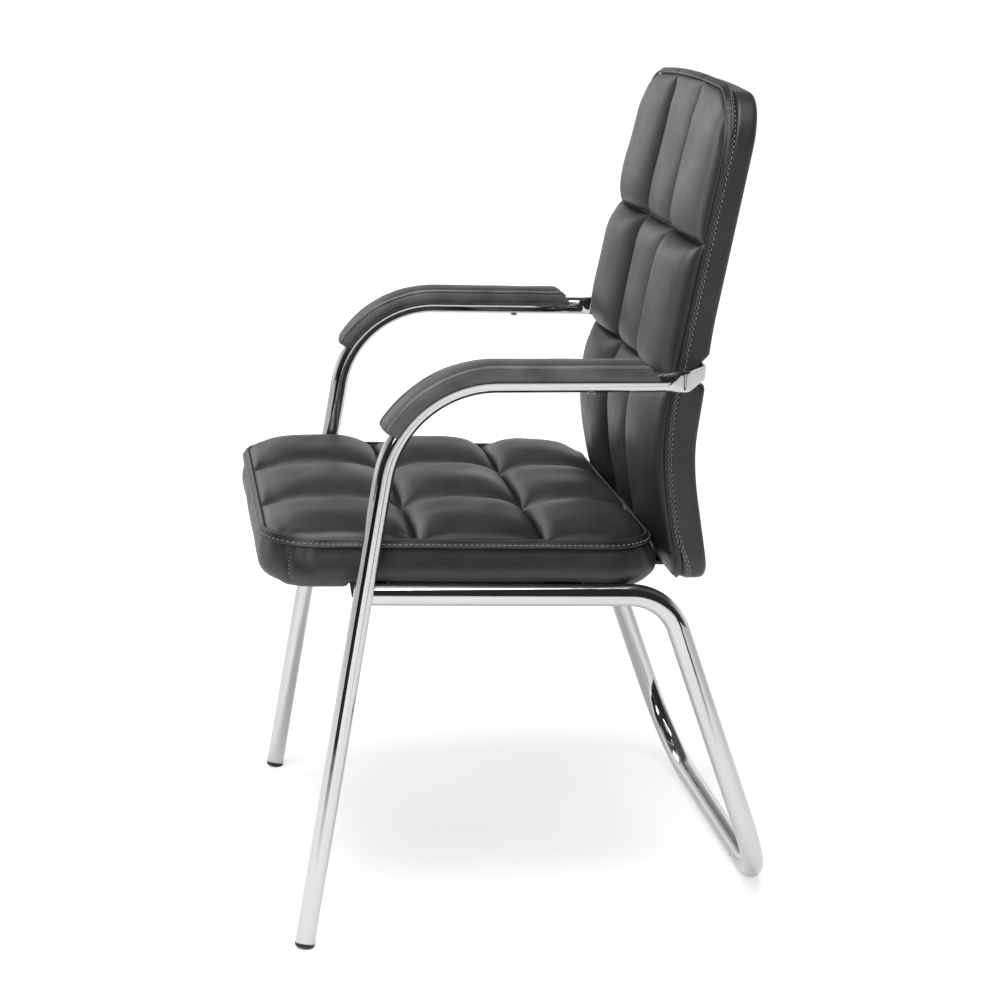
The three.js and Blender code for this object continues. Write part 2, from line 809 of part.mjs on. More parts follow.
// The three rows of panels are stuffed differently
function backPuffAt(y) {
  const seam = 1 / quiltPanels;
  if (y < -seam) return backLowerPuff;
  return y > seam ? backUpperPuff : backMiddlePuff;
}

function backCushion() {
  const cushion = slab({
    outline: backOutline,
    thickness: backEdgeThickness,
    facets: quiltPanels * facetsPerPanel,
    steps: 2,
    seams: backSeams,
    insetAt: (height) => quarterRound((1 - height) * 2, backEdgeRound),
    topAt: (x, y) => backPuffAt(y) * panelRise(x, y) + backCrown * (1 - x * x) * (1 - y * y),
  });
  const notches = bothSides((side) => bracketNotch(side, seatCentreY, floorBarY));
  return cut(stoodUp(cushion, -layerGap, -1), notches);
}

function backWelt() {
  return weltRing(backOutline, backSeams, (x, y, rise) => {
    const z = backHeightAt(x, y);
    return [x, backLine(z) - layerGap - weltWidth / 2 - rise, z];
  });
}

// The shell is deeper in its lower part, and its rear edge is rounded
function rearShell() {
  const shell = slab({
    outline: backOutline,
    thickness: shellDepth,
    facets: slabFacets,
    steps: shellSteps,
    insetAt: (height) => quarterRound(((1 - height) * shellDepth) / shellRound, shellRound),
  });
  const position = shell.attributes.position;
  for (let i = 0; i < position.count; i += 1) {
    const z = backHeightAt(position.getX(i), position.getY(i));
    position.setZ(i, (position.getZ(i) * shellDepthAt(z)) / shellDepth);
  }
  const holes = bothSides((side) => hole(
    boltDia + 2 * holeSlack, tonguePoint(side, tongueY), forward, shellLowerDepth,
  ));
  const heads = bothSides((side) => (
    hole(screwHeadDia + 2 * gap, backScrewPoint(side), backScrewDirection(), screwHeadHeight + bracketThickness)));
  return cut(stoodUp(shell, gap, 1), [
    boardSlab(gap, -cutOverrun, backBoardThickness + 2 * gap + cutOverrun), ...holes, ...heads,
    ...bothSides(tongueRoom), ...bothSides(bracketRoom),
    ...bothSides((side) => bracketNotch(side, seatCentreY, bracketRise(bracketLevel) + bracketThickness)),
  ]);
}

// Recess that takes the tongue at the rear end of an arm
function tongueRoom(side) {
  const inner = side * (tongueEndX - gap);
  const outer = side * backWidth;
  return block(
    Math.min(inner, outer), Math.max(inner, outer),
    tongueY - tongueThickness / 2 - gap, tongueY + shellDepth,
    tongueHeight - tongueRootWidth / 2 - gap, tongueHeight + tongueRootWidth / 2 + gap,
  );
}

// Brackets: flat steel under the seat board, turned up behind the back board

const bracketLevel = barTop - bracketThickness / 2;

function bracketRise(z) {
  return backLine(z) + gap + backBoardThickness + layerGap + bracketThickness / 2;
}

function bracketPath(side, start, top) {
  const x = side * bracketX;
  const corners = [
    new THREE.Vector3(x, start, bracketLevel),
    new THREE.Vector3(x, bracketRise(bracketLevel), bracketLevel),
    new THREE.Vector3(x, bracketRise(top), top),
  ];
  return bentPath(corners, [bracketBendRadius], turnSteps);
}

function strip(path, grow) {
  const x = bracketWidth / 2 + grow;
  const y = bracketThickness / 2 + grow;
  const section = new THREE.Shape([
    new THREE.Vector2(-x, -y), new THREE.Vector2(x, -y), new THREE.Vector2(x, y), new THREE.Vector2(-x, y),
  ]);
  return sweep(section, path);
}

function backBracket(side) {
  return cut(strip(bracketPath(side, bracketFrontY, bracketTop), 0), [
    hole(screwDia + 2 * gap, seatScrewPoint(side, bracketLevel), upward, bracketScrewLength),
    hole(screwDia + 2 * gap, backScrewPoint(side), backScrewDirection(), bracketScrewLength),
  ]);
}

function bracketRoom(side) {
  return strip(bracketPath(side, bracketFrontY, bracketTop + gap), gap);
}

// Clears the skirt of a cushion below the level part of a bracket
function bracketNotch(side, front, rear) {
  const x = side * bracketX;
  const half = bracketWidth / 2 + gap;
  return block(x - half, x + half, front, rear, seatUnderside - cutOverrun, barTop + gap);
}

// Square to the bracket where the screw goes in
function backScrewDirection() {
  const rise = bracketRise(bracketBackScrewHeight + 1) - bracketRise(bracketBackScrewHeight);
  return new THREE.Vector3(0, -1, rise).normalize();
}

function backScrewPoint(side) {
  const z = bracketBackScrewHeight;
  return new THREE.Vector3(side * bracketX, bracketRise(z), z)
    .addScaledVector(backScrewDirection(), -bracketThickness / 2 - gap);
}

function seatEndScrew(side) {
  return screw(bracketScrewLength, seatScrewPoint(side, barTop - bracketThickness - gap), upward);
}

function backEndScrew(side) {
  return screw(bracketScrewLength, backScrewPoint(side), backScrewDirection());
}

// Arm pads: an upholstered cover over a grooved core, both following the bend of the arm

function padStations(side, trim) {
  const bend = armBend(side).slice(1 + padFrontStep, -1);
  const [first, ...rest] = bend;
  const front = { point: first.point.clone().addScaledVector(first.tangent, trim), tangent: first.tangent };
  const { tangent } = bend.at(-1);
  return [front, ...rest, { point: armPoint(side, padRearY - trim), tangent }];
}

// The underside is grooved for the arm tube
function grooved(shape, bottom) {
  const groove = armTube + gap;
  const start = Math.asin(bottom / groove);
  shape.lineTo(-groove * Math.cos(start), bottom);
  shape.absarc(0, 0, groove, Math.PI - start, start, true);
  return shape;
}

function padSection() {
  const half = padWidth / 2;
  const shape = new THREE.Shape();
  shape.moveTo(half, padSkirt);
  shape.lineTo(half, padShoulder);
  shape.quadraticCurveTo(half, padHeight, half / 2, padHeight);
  shape.lineTo(-half / 2, padHeight);
  shape.quadraticCurveTo(-half, padHeight, -half, padShoulder);
  shape.lineTo(-half, padSkirt);
  return grooved(shape, padSkirt);
}

function armPad(side) {
  const x = padCoreWidth / 2 + gap;
  const y = padCoreHeight + gap;
  const core = new THREE.Shape([
    new THREE.Vector2(-x, 0), new THREE.Vector2(x, 0), new THREE.Vector2(x, y), new THREE.Vector2(-x, y),
  ]);
  const room = sweep(core, padStations(side, padEndWall - gap), { level: true });
  const cover = sweep(padSection(), padStations(side, 0), { level: true });
  return cut(cover, [room, chamferTool(side)]);
}

// Takes the upper corner off the rear end of a pad
function chamferTool(side) {
  const clear = padHeight + padChamfer;
  const shape = new THREE.Shape([
    new THREE.Vector2(-padChamfer, padHeight), new THREE.Vector2(0, padSkirt),
    new THREE.Vector2(padChamfer, padSkirt), new THREE.Vector2(padChamfer, clear),
    new THREE.Vector2(-padChamfer, clear),
  ]);
  const tool = new THREE.ExtrudeGeometry(shape, { depth: 2 * padWidth, bevelEnabled: false });
  tool.rotateX(Math.PI / 2);
  tool.rotateZ(Math.PI / 2);
  const rear = armPoint(side, padRearY);
  tool.translate(rear.x - padWidth, rear.y, rear.z);
  return tool;
}

function padCore(side) {
  const half = padCoreWidth / 2;
  const bottom = padSkirt + gap;
  const shape = new THREE.Shape();
  shape.moveTo(half, bottom);
  shape.lineTo(half, padCoreHeight);
  shape.lineTo(-half, padCoreHeight);
  shape.lineTo(-half, bottom);
  const core = sweep(grooved(shape, bottom), padStations(side, padEndWall), { level: true });
  return cut(core, [padScrewHole(side)]);
}

// Bolts, washers and tee nuts

function bolt(length, at, direction) {
  const radius = boltDia / 2;
  const head = boltHeadDia / 2;
  const socket = boltSocketDia / 2;
  const floor = boltSocketDepth - boltHeadHeight;
  const profile = [
    [0, floor], [socket, floor], [socket, -boltHeadHeight],
    [head * domeShare, -boltHeadHeight], [head, -boltRim],
    [head, 0], [radius, 0], [radius, length], [0, length],
  ];
  return turned(profile, at, direction);
}

function washer(at, direction) {
  const inner = boltDia / 2 + gap;
  const outer = washerDia / 2;
  const profile = [
    [inner, 0], [outer, 0], [outer, washerThickness], [inner, washerThickness], [inner, 0],
  ];
  return turned(profile, at, direction);
}

function teeNut(at, direction) {
  const inner = boltDia / 2 + gap;
  const barrel = teeNutBarrelDia / 2;
  const flange = teeNutFlangeDia / 2;
  const profile = [
    [inner, -teeNutLength], [barrel, -teeNutLength], [barrel, -teeNutFlange],
    [flange, -teeNutFlange], [flange, 0], [inner, 0], [inner, -teeNutLength],
  ];
  return turned(profile, at, direction);
}

// The recess reaches from under the flange out through the face of the board
function teeNutSeat(at, direction) {
  const bottom = at.clone().addScaledVector(direction, -teeNutFlange - gap);
  return peg(teeNutFlangeDia + 2 * gap, bottom, at.clone().addScaledVector(direction, backNutSink * 2));
}

const seatWasherTop = barTop - barThickness - gap;

function seatBolts() {
  const under = seatWasherTop - washerThickness - gap;
  return seatBoltPoints(under).map((at) => bolt(boardTop - under - threadReach, at, upward));
}

function backNutPoint(side) {
  return tonguePoint(side, backLine(tongueHeight) + gap + backNutSink);
}

function backBolt(side) {
  const y = tongueRearY + gap + washerThickness + gap;
  return bolt(y - backNutPoint(side).y - threadReach, tonguePoint(side, y), forward);
}

// Assembly. The upper group leans back with the seat.

const chair = new THREE.Group();
const upper = new THREE.Group();
upper.quaternion.copy(tilt);
chair.add(upper);

const finishes = {
  chrome: { color: 0xd8dadd, roughness: 0.08, metalness: 1 },
  leather: { color: 0x141415, roughness: 0.5, metalness: 0 },
  blackSteel: { color: 0x1b1b1c, roughness: 0.55, metalness: 0.6 },
  zinc: { color: 0xb9bcc0, roughness: 0.35, metalness: 1 },
  plastic: { color: 0x111112, roughness: 0.6, metalness: 0 },
  plywood: { color: 0xb58b5a, roughness: 0.75, metalness: 0 },
  sheet: { color: 0x202021, roughness: 0.95, metalness: 0 },
};

function add(name, geometry, finish, parent = upper) {
  const mesh = new THREE.Mesh(geometry, new THREE.MeshStandardMaterial(finishes[finish]));
  mesh.name = name;
  parent.add(mesh);
}

[['left', 1], ['right', -1]].forEach(([label, side]) => {
  add(`${label}_arm_leg`, armLeg(side), 'chrome');
  add(`${label}_foot_plug`, footPlug(side), 'plastic', chair);
  add(`${label}_arm_pad`, armPad(side), 'leather');
  add(`${label}_arm_pad_core`, padCore(side), 'plastic');
  add(`${label}_arm_pad_screw`, padScrew(side), 'zinc');
  add(`${label}_back_bracket`, backBracket(side), 'blackSteel');
  add(`${label}_bracket_seat_screw`, seatEndScrew(side), 'zinc');
  add(`${label}_bracket_back_screw`, backEndScrew(side), 'zinc');
  add(`${label}_back_bolt`, backBolt(side), 'zinc');
  add(`${label}_back_bolt_washer`, washer(tonguePoint(side, tongueRearY + gap), backward), 'zinc');
  add(`${label}_back_tee_nut`, teeNut(backNutPoint(side), forward), 'zinc');
});

const bolts = seatBolts();
const washerPoints = seatBoltPoints(seatWasherTop);
const nutPoints = seatBoltPoints(boardTop);
['front_left', 'front_right', 'rear_left', 'rear_right'].forEach((label, i) => {
  add(`${label}_seat_bolt`, bolts[i], 'zinc');
  add(`${label}_seat_bolt_washer`, washer(washerPoints[i], downward), 'zinc');
  add(`${label}_seat_tee_nut`, teeNut(nutPoints[i], upward), 'zinc');
});

add('rear_frame', rearFrame(), 'chrome', chair);
add('front_seat_bar', seatBar(frontBarY), 'blackSteel');
add('rear_seat_bar', seatBar(rearBarY), 'blackSteel');

add('seat_board', seatBoard(), 'plywood');
add('seat_cushion', seatCushion(), 'leather');
add('seat_welt', seatWelt(), 'leather');
add('seat_dust_cover', dustCover(), 'sheet');

add('back_board', backBoard(), 'plywood');
add('back_cushion', backCushion(), 'leather');
add('back_welt', backWelt(), 'leather');
add('back_rear_shell', rearShell(), 'leather');

// The origin lies under the middle of the whole chair
const bounds = new THREE.Box3().setFromObject(chair, true);
chair.position.y = -(bounds.min.y + bounds.max.y) / 2;

export default chair;
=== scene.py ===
"""Quilted visitor chair on a bent chrome tube frame: the finished look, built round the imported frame.

Sizes are millimetres in the chair's own upper frame, which leans back with the seat. to_floor() turns them
into millimetres on the floor. X is the sitter's left, the sitter faces -Y and Z is up.
"""
import json
import math

import bpy
import numpy as np
from mathutils import Matrix


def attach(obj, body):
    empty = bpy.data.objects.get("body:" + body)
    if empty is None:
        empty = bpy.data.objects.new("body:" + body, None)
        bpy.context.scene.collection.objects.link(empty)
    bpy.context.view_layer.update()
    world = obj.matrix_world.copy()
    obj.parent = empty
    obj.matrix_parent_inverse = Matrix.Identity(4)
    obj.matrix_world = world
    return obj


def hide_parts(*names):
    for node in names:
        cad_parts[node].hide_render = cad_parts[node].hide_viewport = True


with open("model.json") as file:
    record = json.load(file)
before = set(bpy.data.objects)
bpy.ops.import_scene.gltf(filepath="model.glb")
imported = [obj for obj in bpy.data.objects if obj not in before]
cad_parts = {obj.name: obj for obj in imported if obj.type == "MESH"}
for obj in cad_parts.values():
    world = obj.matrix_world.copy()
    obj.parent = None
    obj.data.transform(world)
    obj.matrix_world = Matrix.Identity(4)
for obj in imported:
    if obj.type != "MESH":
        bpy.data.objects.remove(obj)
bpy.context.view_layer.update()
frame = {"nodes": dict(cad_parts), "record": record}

# ---- Shared sizes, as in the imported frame

MM = 0.001
TILT = math.radians(2.7)
SHIFT = 4.8184
GAP = 0.3
LAYER_GAP = 0.6
UP = np.array([0.0, 0.0, 1.0])

ARM_TUBE = 11.0
FOOT_X, FOOT_Y = 292.2, -261.5
ARM_CORNER = (275.0, -176.0, 627.0)
ARM_CREASE = (265.8, 142.0, 632.0)
ARM_STRAIGHT_END_Y = 122.0
ARM_BEND_RADIUS = 123.0
PLUG_HEIGHT = 5.4

TONGUE_ROOT_WIDTH, TONGUE_WIDTH, TONGUE_THICKNESS = 23.0, 17.0, 4.4
TONGUE_KNEE_X, TONGUE_END_X = 226.0, 175.0
TONGUE_HEIGHT = 636.0
TONGUE_SINK = 8.0
TONGUE_PRESS_REACH = 11.0

RAIL_TUBE = 12.7
RAIL_X, RAIL_HEIGHT, RAIL_FRONT_Y, RAIL_CORNER_Y = 257.43, 387.7, -212.0, 136.0
FLOOR_BAR_Y = 279.6
RAIL_BEND_RADIUS, FLOOR_BEND_RADIUS = 62.0, 105.0
DRAIN_HOLE_X, DRAIN_HOLE, DRAIN_HOLE_DEPTH, DRAIN_HOLE_LIP = 132.0, 2.75, 4.5, 0.25

SEAT_WIDTH, SEAT_DEPTH, SEAT_CENTRE_Y = 500.0, 432.0, -95.5
SEAT_CORNER_RADIUS = 58.0
SEAT_UNDERSIDE, SEAT_WELT_HEIGHT = 393.5, 442.0
SEAT_PUFF, SEAT_FRONT_PUFF, SEAT_CROWN, SEAT_CREASE = 24.5, 2.0, 4.0, 5.0
SEAT_BULGE, SEAT_LOWER_ROUND, SEAT_SAG, SEAT_SAG_SPREAD = 10.0, 15.0, 2.9, 0.5
SEAT_SQUARENESS = (2.8, 2.8)
SEAT_SEAMS = ((-0.36, 0.36), (-0.24, 0.42))
CORNER_SEAM_ANGLE = 0.66
BOARD_INSET, SEAT_BOARD_TOP = 24.0, 413.8
SEAT_BARS_Y, BAR_WIDTH, BAR_TOP = (-198.0, 20.0), 43.0, 400.4

BACK_WIDTH, BACK_BOTTOM, BACK_TOP, BACK_TOP_BOW = 446.0, 390.0, 937.0, 10.0
BACK_RADIUS, BACK_TOP_RADIUS = 36.0, 72.0
BACK_EDGE, BACK_EDGE_ROUND, BACK_CROWN, BACK_CREASE = 7.0, 2.4, 3.0, 8.0
BACK_PUFFS = (22.0, 25.5, 19.5)
BACK_SQUARENESS = (2.6, 7.0)
BACK_SEAMS = ((-0.3, 0.3), (-0.15, 0.41))
BACK_BOARD_INSET, BACK_BOARD_THICKNESS = 22.0, 9.0
LUMBAR_HEIGHT, LUMBAR_Y, LUMBAR_RADIUS, KICK_SLOPE, LEAN_SLOPE = 555.0, 139.0, 330.0, -0.2, 0.155
KEEL_RISE, KEEL_HEIGHT, KEEL_LINE, KEEL_REACH = 8.5, 42.0, 14.0, 30.0
SHELL_DEPTH, SHELL_LOWER_DEPTH, SHELL_ROUND, SHELL_TOP_RADIUS = 24.0, 31.5, 8.0, 56.0

PAD_WIDTH, PAD_TOP, PAD_SHOULDER, PAD_SKIRT = 48.0, 22.6, 18.0, 4.0
PAD_REAR_Y, PAD_CHAMFER, PAD_CHAMFER_LENGTH, PAD_END_ROUND = 108.0, 17.0, 34.0, 6.0

WELT_THICKNESS = 2.0
BACK_HEIGHT = BACK_TOP - BACK_BOTTOM
BACK_MIDDLE = (BACK_TOP + BACK_BOTTOM) / 2
SEAT_THICKNESS = SEAT_WELT_HEIGHT - SEAT_UNDERSIDE
SEAT_OUTLINE = (SEAT_WIDTH, SEAT_DEPTH, SEAT_CORNER_RADIUS, SEAT_CORNER_RADIUS)
BACK_OUTLINE = (BACK_WIDTH, BACK_HEIGHT, BACK_RADIUS, BACK_TOP_RADIUS)
SHELL_OUTLINE = (BACK_WIDTH, BACK_HEIGHT, BACK_RADIUS, SHELL_TOP_RADIUS)


# ---- From sizes to meshes

def turned_about_x(points, angle, shift=0.0):
    x, y, z = np.moveaxis(points, -1, 0)
    c, s = math.cos(angle), math.sin(angle)
    return np.stack([x, y * c + z * s + shift, z * c - y * s], -1)


def to_floor(points):
    """Turns the upper frame's millimetres into those on the floor: a turn about X by the tilt, then the shift."""
    return turned_about_x(points, TILT, SHIFT)


def unit(vectors):
    return vectors / np.linalg.norm(vectors, axis=-1, keepdims=True)


def smooth_step(value, low, high):
    share = np.clip((value - low) / (high - low), 0, 1)
    return share * share * (3 - 2 * share)


def bell(value, width):
    """1 where the value is 0, fading to 0 over a few widths."""
    return np.exp(-(value / width) ** 2)


def signed_power(value, power):
    return np.sign(value) * np.abs(value) ** power


def full_turn(count):
    return np.linspace(0, 2 * math.pi, count, endpoint=False)


def circle(angle):
    return np.stack([np.cos(angle), np.sin(angle)], -1)


def level(x, y, height=0.0):
    """Points of a flat drawing at one height, or each at its own."""
    return np.stack([x, y, np.broadcast_to(height, x.shape)], -1)


def run_length(points):
    """Length along a line of points, from 0 at the first one."""
    return np.concatenate([[0], np.cumsum(np.linalg.norm(np.diff(points, axis=0), axis=1))])


def resampled(points, length, at):
    """Points whose lengths along the line are given, read off at other lengths."""
    return np.stack([np.interp(at, length, column) for column in points.T], -1)


def loop_directions(points):
    """The direction of a closed loop at each of its points."""
    return unit(np.roll(points, -1, 0) - np.roll(points, 1, 0))


def uneven(points, size, seed):
    """Smooth unevenness of about -1 to 1: the mean of nine sine waves of seeded directions, phases and lengths
    near size."""
    rng = np.random.default_rng(seed)
    direction = unit(rng.normal(size=(9, 3))) / (size * rng.uniform(0.6, 1.7, (9, 1)))
    phase = rng.uniform(0, 2 * math.pi, 9)
    return 1.6 * np.sin(2 * math.pi * (points @ direction.T) + phase).mean(-1)


def add_piece(name, points, faces, material, replaces=(), on_floor=False, wear_and_painted_light=None):
    """Makes one smooth mesh from points in mm and arrays of face corners, and lets it ride on the chair. The last,
    optional array says how far each point's leather is lightened: partly rub wear, partly painted highlight,
    and painted shade where it is low."""
    placed = (points if on_floor else to_floor(points)) * MM
    mesh = bpy.data.meshes.new(name)
    mesh.from_pydata(placed.tolist(), [], [corner for group in faces for corner in group.tolist()])
    mesh.polygons.foreach_set("use_smooth", np.full(len(mesh.polygons), True))
    if wear_and_painted_light is not None:
        values = mesh.attributes.new("wear_and_painted_light", "FLOAT", "POINT").data
        values.foreach_set("value", np.ravel(wear_and_painted_light).astype(np.float32))
    mesh.materials.append(material)
    mesh.update()
    piece = bpy.data.objects.new(name, mesh)
    bpy.context.collection.objects.link(piece)
    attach(piece, "root")
    if replaces:
        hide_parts(*replaces)
    return piece


def loop_faces(first, second):
    """Quads between two closed loops of vertex numbers, outwards when the first lies above and both run
    anticlockwise."""
    return np.stack([first, second, np.roll(second, -1), np.roll(first, -1)], -1)


def fan_faces(loop, pole):
    """Triangles that close a loop onto a vertex below it."""
    return np.stack([loop, np.full_like(loop, pole), np.roll(loop, -1)], -1)


def grid_faces(numbers):
    """Quads of a grid of vertex numbers whose rows run along y and columns along x, facing +z."""
    corners = [numbers[:-1, :-1], numbers[:-1, 1:], numbers[1:, 1:], numbers[1:, :-1]]
    return np.stack(corners, -1).reshape(-1, 4)


def border(numbers):
    """The edge of a grid of vertex numbers as one anticlockwise loop."""
    return np.concatenate([numbers[0, :-1], numbers[:-1, -1], numbers[-1, :0:-1], numbers[:0:-1, 0]])


# ---- Paths of the tubes

def bent_path(corners, radii, steps):
    """Points and tangents of straight runs joined by circular bends, each bend in equal steps."""
    runs = [unit(b - a) for a, b in zip(corners, corners[1:])]
    points, tangents = [corners[0][None]], [runs[0][None]]
    for corner, inward, onward, radius in zip(corners[1:], runs, runs[1:], radii):
        turn = math.acos(np.clip(inward @ onward, -1, 1))
        axis = unit(np.cross(inward, onward))
        start = corner - inward * radius * math.tan(turn / 2)
        centre = start + np.cross(axis, inward) * radius
        angle = np.linspace(0, turn, steps + 1)[:, None]
        outward = start - centre
        points.append(centre + outward * np.cos(angle) + np.cross(axis, outward) * np.sin(angle))
        tangents.append(inward * np.cos(angle) + np.cross(axis, inward) * np.sin(angle))
    points.append(corners[-1][None])
    tangents.append(runs[-1][None])
    return np.concatenate(points), np.concatenate(tangents)


def subdivided(points, tangents, longest):
    """Adds even stations on the long straight runs of a path."""
    length = np.linalg.norm(np.diff(points, axis=0), axis=1)
    counts = np.maximum(np.ceil(length / longest).astype(int), 1)
    start = np.repeat(np.arange(len(length)), counts)
    share = np.concatenate([np.arange(count) / count for count in counts])[:, None]
    fine = points[start] * (1 - share) + points[start + 1] * share
    turned = unit(tangents[start] * (1 - share) + tangents[start + 1] * share)
    return np.vstack([fine, points[-1]]), np.vstack([turned, tangents[-1]])


def carried_sides(tangents, first):
    """A side vector square to each tangent, carried along with the smallest turn from one station to the next."""
    sides = [unit(first - tangents[0] * (first @ tangents[0]))]
    for tangent in tangents[1:]:
        sides.append(unit(sides[-1] - tangent * (sides[-1] @ tangent)))
    return np.array(sides)


def swept(points, tangents, sections, sides=None):
    """Open tube of rings: each ring is its section's (across, out) points on the station's side and outward
    vectors. Without sides these are level in the upper frame, for paths that are never upright."""
    sides = unit(np.cross(UP, tangents)) if sides is None else sides
    outs = np.cross(tangents, sides)
    rings = points[:, None] + sections[..., :1] * sides[:, None] + sections[..., 1:] * outs[:, None]
    count, around = rings.shape[:2]
    numbers = np.arange(count * around).reshape(count, around)
    faces = [loop_faces(lower, upper)[:, ::-1] for upper, lower in zip(numbers[1:], numbers)]
    return rings.reshape(-1, 3), numbers, faces


def capped_tube(*path):
    """A swept tube with both ends closed onto a point."""
    vertices, numbers, faces = swept(*path)
    poles = vertices[numbers[[0, -1]]].mean(1)
    faces += [fan_faces(numbers[0], len(vertices)), fan_faces(numbers[-1][::-1], len(vertices) + 1)]
    return np.vstack([vertices, poles]), faces


# ---- Outlines of seat and back

def rounded_outline(s, t, width, length, radius, upper_radius, inset=0.0):
    """Carries the square from -1 to 1 onto a rounded rectangle, whose rounding fades towards the middle."""
    reach = np.maximum(np.maximum(np.abs(s), np.abs(t)), 1e-9)
    corner = np.where(t > 0, upper_radius, radius) - inset
    half_x, half_y = width / 2 - inset, length / 2 - inset
    edge_x, edge_y = s / reach * half_x, t / reach * half_y
    over_x = np.maximum(np.abs(edge_x) - (half_x - corner), 0)
    over_y = np.maximum(np.abs(edge_y) - (half_y - corner), 0)
    pull = np.minimum(corner / np.maximum(np.hypot(over_x, over_y), 1e-9), 1)
    round_x = np.sign(edge_x) * (np.abs(edge_x) - over_x + over_x * pull)
    round_y = np.sign(edge_y) * (np.abs(edge_y) - over_y + over_y * pull)
    blend = reach ** 4
    return (edge_x + (round_x - edge_x) * blend) * reach, (edge_y + (round_y - edge_y) * blend) * reach


def outline_at(s, t, outline, inset=0.0, height=0.0):
    """Points of a rounded outline at one height, or each at its own."""
    return level(*rounded_outline(s, t, *outline, inset), height)


def to_seams(s, t, seams):
    """Moves the even thirds of -1 to 1 to the seams, across and along."""
    return [np.interp(value, [-1, -1 / 3, 1 / 3, 1], [-1, *pair, 1]) for value, pair in zip((s, t), seams)]


def eased_grid(s, t, outline, seams):
    """Grid of points whose edge lies on the rounded outline. The rounding fades inwards like a stretched sheet:
    each inner shift nears the mean of its four neighbours' shifts."""
    u, v = to_seams(s, t, seams)
    square = np.stack([u * outline[0] / 2, v * outline[1] / 2])
    shift = np.stack(rounded_outline(u, v, *outline)) - square
    for _ in range(700):
        around = shift[:, :-2, 1:-1] + shift[:, 2:, 1:-1] + shift[:, 1:-1, :-2] + shift[:, 1:-1, 2:]
        shift[:, 1:-1, 1:-1] = around / 4
    return square + shift


def panel_stations():
    """Stations from -1 to 1 that crowd towards the seams of three even panels, 44 steps to a panel."""
    q = np.linspace(0, 1, 45)
    eased = 0.3 * q + 0.7 * (1 - np.cos(math.pi * q)) / 2
    return np.unique(np.round(np.concatenate([-1 + 2 * (k + eased) / 3 for k in range(3)]), 9))


def in_panel(s):
    """Position from 0 to 1 inside its own panel."""
    along = (s + 1) / 2 * 3
    return along - np.minimum(np.floor(along), 2)


def quarter_round(share, radius):
    """How far a rounded edge draws in at a share of its radius from the face."""
    left = 1 - np.clip(share, 0, 1)
    return radius * (1 - np.sqrt(1 - left * left))


def panel_rise(s, t, across, along):
    """Fullness of a stuffed panel: the product of two rounded humps, squarer where the power is higher."""
    ridge = (1 - np.abs(2 * in_panel(s) - 1) ** across) * (1 - np.abs(2 * in_panel(t) - 1) ** along)
    return np.clip(ridge, 0, 1) ** 0.5


def back_line(z):
    """Side view of the back: a straight kick below, a shallow lumbar arc, a straight lean above."""
    rise = z - LUMBAR_HEIGHT
    slope = np.clip(rise / LUMBAR_RADIUS, KICK_SLOPE, LEAN_SLOPE)
    arc = slope * LUMBAR_RADIUS
    return LUMBAR_Y + arc * slope / 2 + (rise - arc) * slope


def back_height(x, y):
    """Height of a point of the back's outline: its top edge bows up in the middle."""
    upper = np.maximum(y / (BACK_HEIGHT / 2), 0)
    return BACK_MIDDLE + y + BACK_TOP_BOW * (1 - (x / (BACK_WIDTH / 2)) ** 2) * upper ** 2


def shell_depth(z):
    return SHELL_LOWER_DEPTH + (SHELL_DEPTH - SHELL_LOWER_DEPTH) * smooth_step(z, 570, 700)


def keel(z, behind):
    """How far the back's lower edge is drawn up in front of and behind its lowest line, as on a boat's keel."""
    low = 1 - smooth_step(z, BACK_BOTTOM, BACK_BOTTOM + KEEL_HEIGHT)
    return KEEL_RISE * low * np.minimum(((behind - KEEL_LINE) / KEEL_REACH) ** 2, 1)


def stood_up(points, offset, facing):
    """Stands flat points (x, y, thickness) up against the back line, thickness to the front (-1) or rear (1)."""
    x = -facing * points[..., 0]
    z = back_height(x, points[..., 1])
    behind = offset + facing * points[..., 2]
    return np.stack([x, back_line(z) + behind, z + keel(z, behind)], -1)


# ---- Cushions: a quilted face, sides and a rear closed in loops

def boxed_form(face, loops, pole):
    """Vertices and faces of a closed form: a face grid, then loops of points below its edge, then a pole."""
    rows, columns = face.shape[:2]
    numbers = np.arange(rows * columns).reshape(rows, columns)
    rim = border(numbers)
    vertices, faces, above = [face.reshape(-1, 3)], [grid_faces(numbers)], rim
    for k, loop in enumerate(loops):
        below = rows * columns + k * len(rim) + np.arange(len(rim))
        faces.append(loop_faces(above, below))
        vertices.append(loop)
        above = below
    faces.append(fan_faces(above, rows * columns + len(loops) * len(rim)))
    vertices.append([pole])
    return np.vstack(vertices), faces


def rim_parameters(s, t):
    """The square's edge as one anticlockwise loop, matching border()."""
    columns, rows = np.meshgrid(s, t)
    rim = border(np.arange(columns.size).reshape(columns.shape))
    return columns.ravel()[rim], rows.ravel()[rim]


PANEL_STATIONS = panel_stations()
FINE_RIM = rim_parameters(*[np.linspace(-1, 1, 400)] * 2)


